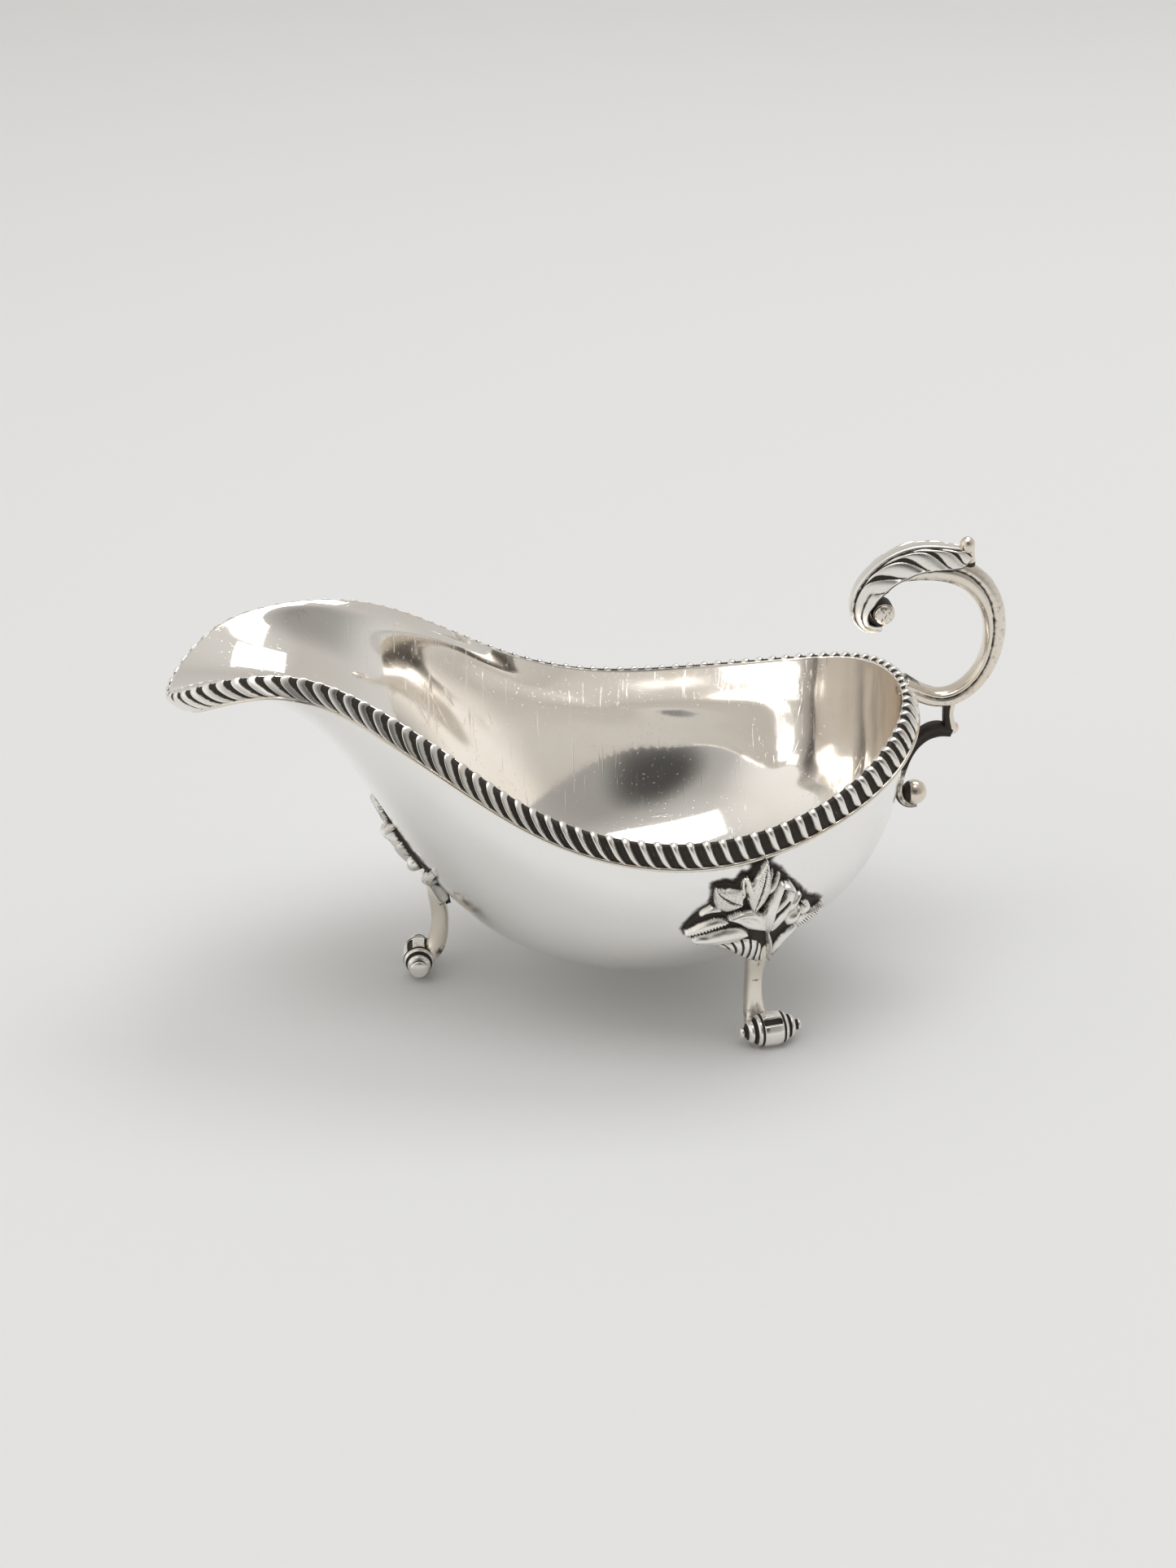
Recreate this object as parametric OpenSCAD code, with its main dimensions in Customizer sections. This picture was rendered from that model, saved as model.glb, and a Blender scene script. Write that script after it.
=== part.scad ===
// Raised sauce boat on three cast scroll feet, with a gadrooned rim and a
// flying scroll handle. Millimetres. The spout points to -X, the handle to +X,
// Z is up, and the feet stand on z = 0 with the object centred over the origin.

/* [Bowl] */
// thickness of the raised sheet
sheet = 0.9; // [0.7:0.05:1.2]
// distance from the table to the lowest point of the bowl
clearance = 9.2; // [8.4:0.1:10.2]

/* [Rim] */
// number of gadroons on each side of the rim, spout tip to handle
gadroons = 61.5; // [41.5:1:61.5]
// depth of the gadrooned border, measured down the wall
border_h = 5.1; // [4.2:0.1:5.6]
// how far a gadroon stands out from the wall
border_out = 2.1; // [1.6:0.05:2.4]
// radius of the plain wire under the border
wire_r = 0.5; // [0.35:0.05:0.65]

/* [Handle] */
// thickness of the handle arm in the plane of the loop
arm_t = 4.8; // [4:0.1:5.4]
// width of the handle arm across the boat
arm_w = 5.4; // [4.4:0.1:6.4]
// radius of the ball under the handle bracket
drop_r = 2.9; // [2.2:0.1:3.2]
// radius of the turned-up tip of the leaf
tip_r = 1.6; // [1.2:0.1:1.8]

/* [Feet] */
// radius of the rolled foot at its middle
roll_r = 3.85; // [3.5:0.05:4.2]
// length of the rolled foot
roll_len = 14.4; // [11:0.1:16]
// width of a leg at its thinnest
leg_w = 3.7; // [3:0.1:4.4]

/* [Hidden] */
silver = [0.80, 0.79, 0.77];
bright = [0.88, 0.88, 0.87];
dark = [0.30, 0.28, 0.26];
half_sheet = sheet / 2;
$fn = 48;

// ---------------------------------------------------------------- curve tools

// the four weights of a uniform cubic spline at fraction f of a span
function weights(f) = [pow(1 - f, 3), 3 * pow(f, 3) - 6 * f * f + 4,
                       -3 * pow(f, 3) + 3 * f * f + 3 * f + 1, pow(f, 3)] / 6;

// control value j of a list that repeats in mirror image past both ends
function mirrored(c, j, sign) = let (n = len(c) - 1)
    j < 0 ? sign * c[-j] : j > n ? sign * c[2 * n - j] : c[j];

// spline through a mirrored list, u from 0 to 1
function along(c, u, sign = 1) =
    let (n = len(c) - 1, t = u * n, i = min(floor(t), n - 1), w = weights(t - i))
    w[0] * mirrored(c, i - 1, sign) + w[1] * mirrored(c, i, sign)
    + w[2] * mirrored(c, i + 1, sign) + w[3] * mirrored(c, i + 2, sign);

// control value j of an open list, run straight on past both ends
function run_on(c, j) = let (n = len(c) - 1)
    j < 0 ? 2 * c[0] - c[1] : j > n ? 2 * c[n] - c[n - 1] : c[j];

// spline through an open list, u from 0 to 1
function open_curve(c, u) =
    let (n = len(c) - 1, t = u * n, i = min(floor(t), n - 1), w = weights(t - i))
    w[0] * run_on(c, i - 1) + w[1] * run_on(c, i)
    + w[2] * run_on(c, i + 1) + w[3] * run_on(c, i + 2);

// a quantity running from front to back with its own value half way
function sweep3(front, middle, back, b) =
    (1 - b) * (1 - b) * front + 2 * b * (1 - b) * middle + b * b * back;

function unit(v) = v / norm(v);

// closed solid through a list of rings that all have the same number of points
module skin(rings) {
    n = len(rings);
    m = len(rings[0]);
    polyhedron(
        points = [for (r = rings) each r],
        faces = concat(
            [[for (j = [m - 1:-1:0]) j]],
            [[for (j = [0:m - 1]) (n - 1) * m + j]],
            [for (i = [0:n - 2]) for (j = [0:m - 1]) let (k = (j + 1) % m)
                each [[i * m + j, i * m + k, (i + 1) * m + k],
                      [i * m + j, (i + 1) * m + k, (i + 1) * m + j]]]),
        convexity = 8);
}

// ---------------------------------------------------------------- bowl surface

// Rim control values from spout tip to handle, at equal counts of gadroons.
rim_x = [-94, -83.5, -62.5, -45, -29.5, -14.5, 3, 21.5, 40, 56, 67, 70.5];
rim_y = [0, 18.5, 20, 29.5, 35, 41, 44.5, 46.5, 42.5, 33, 18, 0];
rim_z = [68.2, 80.7, 84.7, 79.2, 69.7, 59.7, 54.2, 53.5, 56.4, 61.7, 67.7, 68.9];
rim_x0 = along(rim_x, 0);
rim_x1 = along(rim_x, 1);

// q runs round the rim: 0 at the spout tip, 1 at the handle, 2 back at the tip.
// The port side (-Y) comes first.
function half_of(q) = q <= 1 ? q : 2 - q;
function side_of(q) = q <= 1 ? -1 : 1;
function rim_at(q) = let (u = half_of(q))
    [along(rim_x, u), side_of(q) * along(rim_y, u, -1), along(rim_z, u)];

// Shapes of the hoops under the rim. Each oval is [front x, back x, half width,
// fullness to the back, front z, middle z, back z].
lip_hoop = [12, 0.3, -2.8, 12.5, 11];
neck_oval = [-56.5, 69, 44.5, 0.16, 67.7, 29.7, 48.7];
belly_oval = [-40, 66, 40.5, 0.14, 31.7, 22.2, 35.7];
low_oval = [-23.5, 54.5, 31, 0.04, 13.7, 13.2, 20.7];
base_oval = [-6, 34, 16, 0, clearance, clearance, clearance];
pole = [14, 0, clearance];

function lip_at(q) = let (r = rim_at(q), b = (r.x - rim_x0) / (rim_x1 - rim_x0))
    [r.x + lip_hoop[0] * (1 - b) * (1 - b) + lip_hoop[1] * b, r.y,
     r.z - sweep3(lip_hoop[2], lip_hoop[3], lip_hoop[4], b)];

function oval_at(o, q) = let (a = 180 * half_of(q), b = (1 - cos(a)) / 2)
    [o[0] + (o[1] - o[0]) * b, side_of(q) * o[2] * sin(a) * (1 - o[3] * cos(a)),
     sweep3(o[4], o[5], o[6], b)];

function hoop(k, q) =
    k < 0 ? 2 * rim_at(q) - lip_at(q)
    : k == 0 ? rim_at(q)
    : k == 1 ? lip_at(q)
    : k == 2 ? oval_at(neck_oval, q)
    : k == 3 ? oval_at(belly_oval, q)
    : k == 4 ? oval_at(low_oval, q)
    : k == 5 ? oval_at(base_oval, q)
    : k == 6 ? pole
    : 2 * pole - oval_at(base_oval, q);

// middle surface of the sheet; v is 0 at the rim and 1 at the bottom
function wall(q, v) =
    let (t = v * 6, i = max(0, min(floor(t), 5)), w = weights(t - i))
    w[0] * hoop(i - 1, q) + w[1] * hoop(i, q) + w[2] * hoop(i + 1, q)
    + w[3] * hoop(i + 2, q);

// outward normal of the wall
function wall_normal(q, v) =
    let (e = 0.004,
         dq = wall(q + e, v) - wall(q - e < 0 ? q + 2 - e : q - e, v),
         dv = wall(q, min(v + e, 1)) - wall(q, max(v - e, 0)))
    v > 0.999 ? [0, 0, -1] : unit(cross(dv, dq));

// a point standing out from the wall by h
function off_wall(q, v, h) = wall(q, v) + h * wall_normal(q, v);

module raised_bowl(around = 80, down = 16) {
    total = around * down;
    skin_h = [half_sheet, -half_sheet];
    // both faces of the sheet, ring by ring, and then the two bottom points
    pts = [for (h = skin_h) for (j = [0:down - 1]) for (i = [0:around - 1])
        off_wall(2 * i / around, j / down, h)];
    bottom = [for (h = skin_h) pole - [0, 0, h]];
    function at(s, i, j) = s * total + j * around + i % around;
    polyhedron(
        points = concat(pts, bottom),
        faces = concat(
            // outer face
            [for (j = [0:down - 2]) for (i = [0:around - 1]) each [
                [at(0, i, j), at(0, i + 1, j), at(0, i + 1, j + 1)],
                [at(0, i, j), at(0, i + 1, j + 1), at(0, i, j + 1)]]],
            // inner face
            [for (j = [0:down - 2]) for (i = [0:around - 1]) each [
                [at(1, i, j), at(1, i + 1, j + 1), at(1, i + 1, j)],
                [at(1, i, j), at(1, i, j + 1), at(1, i + 1, j + 1)]]],
            // bottom caps
            [for (i = [0:around - 1]) [at(0, i, down - 1), at(0, i + 1, down - 1), 2 * total]],
            [for (i = [0:around - 1]) [at(1, i + 1, down - 1), at(1, i, down - 1),
                                       2 * total + 1]],
            // top edge
            [for (i = [0:around - 1]) each [
                [at(0, i, 0), at(1, i, 0), at(1, i + 1, 0)],
                [at(0, i, 0), at(1, i + 1, 0), at(0, i + 1, 0)]]]),
        convexity = 10);
}

module bowl() {
    color(silver) raised_bowl();
}

// ---------------------------------------------------------------- rim border

rise = 0.5;           // how far the gadroons stand above the sheet
slant = 0.9;          // a gadroon's lean, as a share of its spacing

// how far the border turns away from the wall: it hangs down round the spout
// and the neck, where the wall under it runs back almost level, and flares out
// again at the handle
function ease(x) = let (b = min(1, max(0, x))) b * b * (3 - 2 * b);
function hang(q) = 42 * ease((0.6 - half_of(q)) / 0.29)
    + 26 * ease((half_of(q) - 0.74) / 0.14);

// point on or just over the wall, w down from the rim and h out from it
function near_rim(q, w, h) =
    let (down = unit(wall(q, 0.01) - wall(q, 0)),
         length = norm(wall(q, 0.02) - wall(q, 0)) / 0.02)
    w <= 0 ? wall(q, 0) + w * down + h * wall_normal(q, 0)
    : off_wall(q, w / length, h);

// the same for the border and its wire: a straight section, turned by the hang
function on_border(q, w, h) =
    let (down = unit(wall(q, 0.01) - wall(q, 0)), out = wall_normal(q, 0),
         a = hang(q))
    wall(q, 0) + w * (cos(a) * down + sin(a) * out) + h * (cos(a) * out - sin(a) * down);

// height of a gadroon: 1 on its crest and 0 in the groove
function lobe(k) = pow(0.5 + 0.5 * cos(360 * k), 0.7);

// cross-section of the border where the gadroon count is k
function border_ring(k, q) = concat(
    [near_rim(q, border_h * cos(hang(q)), half_sheet - 0.15),
     near_rim(q, -rise, half_sheet - 0.15)],
    [for (s = [0, 0.14, 0.4, 0.7, 0.9, 1])
        on_border(q, s * (border_h + rise) - rise,
                 0.75 + (border_out - 0.75) * pow(sin(180 * (0.08 + 0.84 * s)), 0.6)
                 * (0.35 + 0.65 * lobe(k - slant * s)))]);

module border_side(side, steps = 4) {
    count = gadroons * steps;
    rings = [for (i = [0:count]) let (k = i / steps, q = k / gadroons)
        [for (p = border_ring(k, q)) [p.x, side * p.y, p.z]]];
    skin(side > 0 ? rings : [for (r = rings) [for (j = [len(r) - 1:-1:0]) r[j]]]);
}

module border_port() {
    color(silver) border_side(1);
}

module border_starboard() {
    color(silver) border_side(-1);
}

module rim_wire() {
    around = 128;
    sides = 6;
    ring = [for (i = [0:around - 1]) let (q = 2 * i / around)
        [for (j = [0:sides - 1]) let (a = 360 * j / sides)
            on_border(q, border_h + 0.25 + wire_r * cos(a),
                     half_sheet + 0.35 + wire_r * sin(a))]];
    color(bright) polyhedron(
        points = [for (r = ring) each r],
        faces = [for (i = [0:around - 1]) for (j = [0:sides - 1])
            let (n = (i + 1) % around, k = (j + 1) % sides)
            each [[i * sides + j, i * sides + k, n * sides + k],
                  [i * sides + j, n * sides + k, n * sides + j]]],
        convexity = 8);
}

// ---------------------------------------------------------------- handle

// A bar whose centre line lies in the XZ plane. The path holds
// [x, z, half thickness in the plane, half width across it].
module flat_bar(path, steps, sides = 14) {
    rings = [for (i = [0:steps]) let (
            u = i / steps, c = open_curve(path, u),
            d = open_curve(path, min(u + 0.01, 1)) - open_curve(path, max(u - 0.01, 0)),
            t = unit([d[0], d[1]]))
        [for (j = [0:sides - 1]) let (a = 360 * j / sides)
            [c[0] - t[1] * c[2] * cos(a), c[3] * sin(a), c[1] + t[0] * c[2] * cos(a)]]];
    skin(rings);
}

at = arm_t / 2;
aw = arm_w / 2;

module handle_scroll() {
    color(silver) flat_bar([
        [69.6, 68.3, 2.4, 3.2], [72.4, 66.8, 2.1, 2.9], [77, 64.7, 1.9, aw],
        [81.8, 65.3, 2.0, aw], [86.3, 69.1, 2.0, aw], [89.0, 74.9, 2.1, aw],
        [89.6, 81.3, at, aw], [88.2, 87.9, at + 0.4, aw], [84.2, 93.0, at + 0.6, aw],
        [79.0, 95.5, at + 0.5, aw], [73.4, 96.0, 2.8, 2.6], [68.0, 95.3, 2.3, 2.4],
        [63.4, 93.1, 1.6, 2.1], [60.7, 89.1, 1.3, 2.0], [60.7, 84.9, 1.1, 1.9],
        [63.6, 83.1, 0.9, 1.8], [65.4, 84.5, 0.8, 1.7]], 56);
}

// The leaf lies over the top of the scroll, from the turned-up tip down to the
// curl. Its edges are cut into lobes.
leaf_path = [
    [83.2, 97.5, 0.9, 2.2], [81.2, 98.7, 1.2, 3.6], [77, 99.6, 1.4, 4.3],
    [72, 100.0, 1.5, 4.4], [67, 98.8, 1.5, 4.3], [62.2, 95.9, 1.4, 4.0],
    [58.6, 91.5, 1.3, 3.6], [57.4, 86.7, 1.2, 3.2], [58.9, 82.9, 1.0, 2.6],
    [62.0, 81.6, 0.8, 2.0], [64.2, 81.9, 0.6, 1.4]];

module handle_leaf(steps = 44) {
    rings = [for (i = [0:steps]) let (
            u = i / steps, c = open_curve(leaf_path, u),
            d = open_curve(leaf_path, min(u + 0.01, 1))
                - open_curve(leaf_path, max(u - 0.01, 0)),
            t = unit([d[0], d[1]]), n = [t[1], -t[0]],
            w = c[3] * (1 + 0.1 * sin(360 * 7 * u)))
        // section: deep-sided hood, thin at its edges and ridged in the middle
        [for (k = [[0, 1], [0.35, 0.8], [0.75, 0.35], [1, -1.9], [0.8, -2.3],
                   [0.3, -0.6], [-0.3, -0.6], [-0.8, -2.3], [-1, -1.9],
                   [-0.75, 0.35], [-0.35, 0.8]])
            [c[0] + n[0] * c[2] * k[1], w * k[0], c[1] + n[1] * c[2] * k[1]]]];
    color(silver) skin(rings);
}

module leaf_tip() {
    color(bright) translate([81.9, 0, 101.1]) sphere(tip_r);
    color(silver) translate([82.0, 0, 97.9]) cylinder(h = 3.0, r1 = 1.7, r2 = 1.35);
}

// round button seen on both sides at the heart of the curl
module curl_button() {
    color(bright) translate([64.2, 0, 86.1]) rotate([90, 0, 0])
        rotate_extrude() polygon([[0, -3.4], [1.4, -3.2], [2.4, -2.3], [2.4, 2.3],
                                  [1.4, 3.2], [0, 3.4]]);
}

module handle_strut() {
    color(silver) flat_bar([
        [80.4, 64.7, 1.7, 2.0], [80.3, 62.3, 1.1, 1.6], [80.4, 59.9, 1.2, 1.6],
        [81.0, 57.9, 1.5, 1.8], [81.2, 56.6, 1.2, 1.6]], 14);
}

module strut_knuckle() {
    color(bright) translate([81.7, 0, 57.5]) sphere(1.4);
}

module lower_scroll() {
    color(silver) flat_bar([
        [81.2, 56.7, 1.1, 1.9], [78.6, 57.6, 1.7, 2.1], [75.6, 56.7, 1.6, 2.1],
        [73.2, 54.3, 1.2, 2.1], [71.6, 50.9, 0.9, 2.1], [70.7, 47.3, 0.8, 2.2],
        [69.9, 43.5, 0.9, 2.3], [70.5, 40.5, 1.0, 2.2], [72.6, 38.9, 0.8, 1.9],
        [74.6, 39.0, 0.6, 1.4]], 32);
}

module drop_ball() {
    color(bright) translate([73.9, 0, 41.7]) sphere(drop_r);
}

// ---------------------------------------------------------------- wall charts

// A chart is a flat map of the wall round the point (q0, v0): s runs to the
// right as seen from outside, t runs up. It holds [q0, v0, centre, s, t, slopes].
function chart(q0, v0) =
    let (e = 0.01, c = wall(q0, v0), n = wall_normal(q0, v0),
         tt = unit([0, 0, 1] - n * n.z), ss = cross(tt, n),
         dq = (wall(q0 + e, v0) - wall(q0 - e < 0 ? q0 + 2 - e : q0 - e, v0)) / (2 * e),
         dv = (wall(q0, v0 + e) - wall(q0, v0 - e)) / (2 * e),
         a = dq * ss, b = dv * ss, g = dq * tt, h = dv * tt, det = a * h - b * g)
    [q0, v0, c, ss, tt, [[h, -b], [-g, a]] / det];

// wall parameters of the chart point (s, t), closed in on step by step
function chart_uv(m, s, t, uv, steps) =
    steps == 0 ? uv
    : let (q = uv[0] < 0 ? uv[0] + 2 : uv[0], p = wall(q, uv[1]) - m[2],
           miss = [s - p * m[3], t - p * m[4]], d = m[5] * miss)
    chart_uv(m, s, t, [uv[0] + d[0], max(0.01, min(0.99, uv[1] + d[1]))], steps - 1);

// The foot of a mount stands away from the wall, out over its leg.
function on_chart(m, s, t, h) =
    let (uv = chart_uv(m, s, t, [m[0], m[1]], 6), q = uv[0] < 0 ? uv[0] + 2 : uv[0],
         low = max(0, -7 - t))
    off_wall(q, uv[1], h + 0.03 * low * low);

// A leaf lying on the wall from (s0, t0) towards angle a (0 = up, positive to
// the right), bent by bow, with its back raised by h.
module wall_leaf(m, s0, t0, a, length, width, h, bow = 0, steps = 7) {
    rings = [for (i = [0:steps]) let (
            u = 0.02 + 0.96 * i / steps, turn = a + bow * (u - 0.5),
            fat = width / 2 * pow(sin(180 * pow(u, 0.8)), 0.8),
            s = s0 + length * u * sin(a + bow * (u - 1) / 2),
            t = t0 + length * u * cos(a + bow * (u - 1) / 2))
        [for (k = [[-1, 0], [-1, 0.45], [-0.5, 0.9], [0, 0.75], [0.5, 1], [1, 0.5], [1, 0]])
            on_chart(m, s + fat * k[0] * cos(turn), t - fat * k[0] * sin(turn),
                     half_sheet - 0.1 + (0.6 + h * sin(180 * u)) * k[1])]];
    skin([for (r = rings) [for (j = [len(r) - 1:-1:0]) r[j]]]);
}

// thin kite-shaped ground plate of a foliate mount
module wall_kite(m, h, steps = 12) {
    rings = [for (i = [0:steps]) let (u = i / steps, t = -15.5 + 27 * u,
            left = -0.6 - 13.6 * pow(sin(180 * pow(u, 1.35)), 0.9),
            right = 0.6 + 12.6 * pow(sin(180 * pow(u, 1.35)), 0.9))
        concat([for (k = [4:-1:0]) on_chart(m, left + (right - left) * k / 4, t,
                                            half_sheet + h)],
               [for (k = [0:4]) on_chart(m, left + (right - left) * k / 4, t,
                                         half_sheet - 0.2)])];
    skin(rings);
}

// foliate mount: [s0, t0, angle, length, width, height, bow] of each leaf
leaves = [
    [-0.8, -3.5, 0, 15.6, 5.2, 2.0, 0], [-2.6, -3.5, -38, 12.2, 5.4, 2.0, 10],
    [-2.2, -1.5, -22, 11, 2.2, 2.2, -14], [0.2, -7.5, -86, 12.6, 4.4, 2.4, 30],
    [0.6, -12, -68, 17.2, 4.6, 1.8, -24], [1.4, -8.5, 18, 14.5, 4.2, 2.9, 18],
    [2.0, -9.5, 40, 14.6, 3.8, 2.6, 14], [2.6, -9.5, 62, 11, 3.2, 2.4, 8],
    [1.8, -14.0, 50, 16.4, 3.6, 1.8, 22], [1.2, -15.6, 6, 10.5, 2.2, 2.4, 0]];

module foliate(m) {
    color(dark) wall_kite(m, 0.45);
    color(silver) for (f = leaves)
        wall_leaf(m, f[0], f[1], f[2], f[3], f[4], f[5], f[6]);
}

// small oval plate soldered behind the lower scroll
module wall_pad(m, half_w, half_h, h, steps = 8) {
    rings = [for (i = [0:steps]) let (a = 180 * (0.04 + 0.92 * i / steps),
            t = -half_h * cos(a), w = half_w * sin(a))
        concat([for (k = [2:-1:-2]) on_chart(m, w * k / 2, t, half_sheet + h)],
               [for (k = [-2:2]) on_chart(m, w * k / 2, t, half_sheet - 0.2)])];
    skin(rings);
}

module scroll_pad() {
    color(silver) wall_pad(chart(1, 0.36), 3.6, 3.3, 0.6);
}

front_chart = chart(0, 0.5);
port_chart = chart(0.64, 0.4);

module front_mount() {
    foliate(front_chart);
}

module port_mount() {
    foliate(port_chart);
}

module starboard_mount() {
    mirror([0, 1, 0]) foliate(port_chart);
}

// ---------------------------------------------------------------- feet

lw = leg_w / 2;

// One leg behind its foot at the origin: x is towards the bowl, z is up. The
// top leans outwards by lean, to follow the wall it is soldered to.
module leg(lean) {
    flat_bar([[3.6 - lean, 25.5, 1.3, 2.6], [3.6 - lean / 2, 22.5, 1.7, 2.9],
              [4.4 - lean / 8, 19.2, 2.0, 2.3], [5.1, 15.8, 2.1, lw],
              [5.2, 12.0, 2.1, lw], [4.6, 8.2, 2.1, lw + 0.2],
              [3.4, 5.2, 2.1, lw + 0.6], [1.6, 3.9, 2.1, lw + 0.9]], 24);
}

// rolled shell foot: ringed ends, swelling middle, small worn flat underneath
module roll(len_x = roll_len) {
    l = len_x / 2;
    r = roll_r;
    difference() {
        translate([0, 0, r - 0.2]) rotate([90, 0, 0]) rotate_extrude()
            polygon([[0, -l], [0.9, -l], [1.3, -l + 0.7], [1.0, -l + 1.4],
                     [2.1, -l + 1.9], [2.6, -l + 2.9], [2.2, -l + 3.3],
                     [3.0, -l + 3.7], [r - 0.45, -l + 4.6], [3.0, -l + 5.0],
                     [r - 0.15, -2.0], [r, 0], [r - 0.15, 2.0], [3.0, l - 5.0],
                     [r - 0.45, l - 4.6], [3.0, l - 3.7], [2.2, l - 3.3],
                     [2.6, l - 2.9], [2.1, l - 1.9], [1.0, l - 1.4],
                     [1.3, l - 0.7], [0.9, l], [0, l]]);
        translate([-10, -20, -10]) cube([20, 40, 10]);
    }
}

// Where each foot stands: [x, y, direction it faces].
front_foot = [-39.0, 0, 180];
port_foot = [37.2, -37.0, -78];
port_shift = 2.4;

module place(foot) {
    translate([foot[0], foot[1], 0]) rotate([0, 0, foot[2]]) children();
}

module front_leg() {
    color(silver) place(front_foot) mirror([1, 0, 0]) leg(0);
}

module front_roll() {
    color(bright) place(front_foot) roll();
}

module port_leg() {
    color(silver) place(port_foot) translate([0, -port_shift, 0])
        mirror([1, 0, 0]) leg(2.2);
}

module port_roll() {
    color(bright) place(port_foot) roll();
}

module starboard_leg() {
    mirror([0, 1, 0]) port_leg();
}

module starboard_roll() {
    mirror([0, 1, 0]) port_roll();
}

bowl();
border_port();
border_starboard();
rim_wire();
handle_scroll();
handle_leaf();
leaf_tip();
curl_button();
handle_strut();
strut_knuckle();
lower_scroll();
drop_ball();
scroll_pad();
front_mount();
port_mount();
starboard_mount();
front_leg();
port_leg();
starboard_leg();
front_roll();
port_roll();
starboard_roll();
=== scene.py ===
"""Looks of the silver sauce boat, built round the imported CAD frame.

Lengths are worked out in millimetres, in the frame's own axes (-X spout, +X handle,
-Y port, +Z up), and turned into metres as each mesh is made.
"""

import math

import bmesh
import bpy
import numpy as np
from mathutils import Matrix, Vector, kdtree


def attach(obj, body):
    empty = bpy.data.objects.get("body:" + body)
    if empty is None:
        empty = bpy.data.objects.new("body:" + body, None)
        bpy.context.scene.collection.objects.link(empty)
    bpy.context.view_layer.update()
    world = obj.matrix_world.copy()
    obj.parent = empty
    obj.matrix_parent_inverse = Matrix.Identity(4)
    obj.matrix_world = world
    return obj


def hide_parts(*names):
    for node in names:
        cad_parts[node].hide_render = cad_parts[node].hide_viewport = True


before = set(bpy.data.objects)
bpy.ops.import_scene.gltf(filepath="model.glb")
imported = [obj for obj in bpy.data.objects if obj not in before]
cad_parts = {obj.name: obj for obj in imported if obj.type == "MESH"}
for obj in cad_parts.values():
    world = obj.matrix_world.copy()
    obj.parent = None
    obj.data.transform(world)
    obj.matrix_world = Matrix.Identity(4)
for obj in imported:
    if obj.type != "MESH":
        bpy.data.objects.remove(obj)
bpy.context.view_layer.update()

MM = 0.001

SHEET = 0.9  # thickness of the bowl's sheet
CLEARANCE = 9.2  # from the table to the bottom of the bowl
HALF_SHEET = SHEET / 2

# ---------------------------------------------------------------- curve tools



def weights(f):
    return np.stack([(1 - f) ** 3, 3 * f**3 - 6 * f * f + 4,
                     -3 * f**3 + 3 * f * f + 3 * f + 1, f**3], -1) / 6


def spline(ext, n, u):
    """Uniform cubic spline; ext holds the control values with one ghost at each end."""
    t = np.clip(u, 0, 1) * n
    i = np.minimum(np.floor(t).astype(int), n - 1)
    w = weights(t - i)
    ext = np.asarray(ext, float)
    return sum(w[..., k, None] * ext[i + k] if ext.ndim > 1 else w[..., k] * ext[i + k]
               for k in range(4))


def along(c, u, sign=1):
    """Spline through a list that repeats in mirror image past both ends."""
    return spline([sign * c[1], *c, sign * c[-2]], len(c) - 1, u)


def open_curve(c, u):
    """Spline through a list that runs straight on past both ends."""
    c = np.asarray(c, float)
    return spline(np.concatenate([[2 * c[0] - c[1]], c, [2 * c[-1] - c[-2]]]), len(c) - 1, u)


def sweep3(front, middle, back, b):
    return (1 - b) ** 2 * front + 2 * b * (1 - b) * middle + b * b * back


def unit(v):
    return v / np.maximum(np.linalg.norm(v, axis=-1, keepdims=True), 1e-12)


# control values of the rim's spline on the port side, from the spout's tip to the handle
RIM_X = [-94, -83.5, -62.5, -45, -29.5, -14.5, 3, 21.5, 40, 56, 67, 70.5]
RIM_Y = [0, 18.5, 20, 29.5, 35, 41, 44.5, 46.5, 42.5, 33, 18, 0]
RIM_Z = [68.2, 80.7, 84.7, 79.2, 69.7, 59.7, 54.2, 53.5, 56.4, 61.7, 67.7, 68.9]
# the hoop just under the rim: shift at the front and back, then drop at front, middle, back
LIP = [12, 0.3, -2.8, 12.5, 11]
# egg-shaped hoops: front, back, half width, egg shape, then height at front, middle, back
NECK = [-56.5, 69, 44.5, 0.16, 67.7, 29.7, 48.7]
BELLY = [-40, 66, 40.5, 0.14, 31.7, 22.2, 35.7]
LOW = [-23.5, 54.5, 31, 0.04, 13.7, 13.2, 20.7]
BASE = [-6, 34, 16, 0, CLEARANCE, CLEARANCE, CLEARANCE]
POLE = np.array([14, 0, CLEARANCE])
RIM_X0, RIM_X1 = along(RIM_X, np.array(0.0)), along(RIM_X, np.array(1.0))


def half_of(q):
    """How far q is from the spout's tip (0) to the handle (1), on either side."""
    return 1 - np.abs(1 - np.mod(q, 2))


def side_of(q):
    return np.where(np.mod(q, 2) <= 1, -1.0, 1.0)


def rim_at(q):
    u = half_of(q)
    return np.stack([along(RIM_X, u), side_of(q) * along(RIM_Y, u, -1), along(RIM_Z, u)], -1)


def lip_at(q):
    r = rim_at(q)
    b = (r[..., 0] - RIM_X0) / (RIM_X1 - RIM_X0)
    return np.stack([r[..., 0] + LIP[0] * (1 - b) ** 2 + LIP[1] * b, r[..., 1],
                     r[..., 2] - sweep3(LIP[2], LIP[3], LIP[4], b)], -1)


def oval_at(o, q):
    a = np.pi * half_of(q)
    b = (1 - np.cos(a)) / 2
    return np.stack([o[0] + (o[1] - o[0]) * b,
                     side_of(q) * o[2] * np.sin(a) * (1 - o[3] * np.cos(a)),
                     sweep3(o[4], o[5], o[6], b)], -1)


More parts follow.
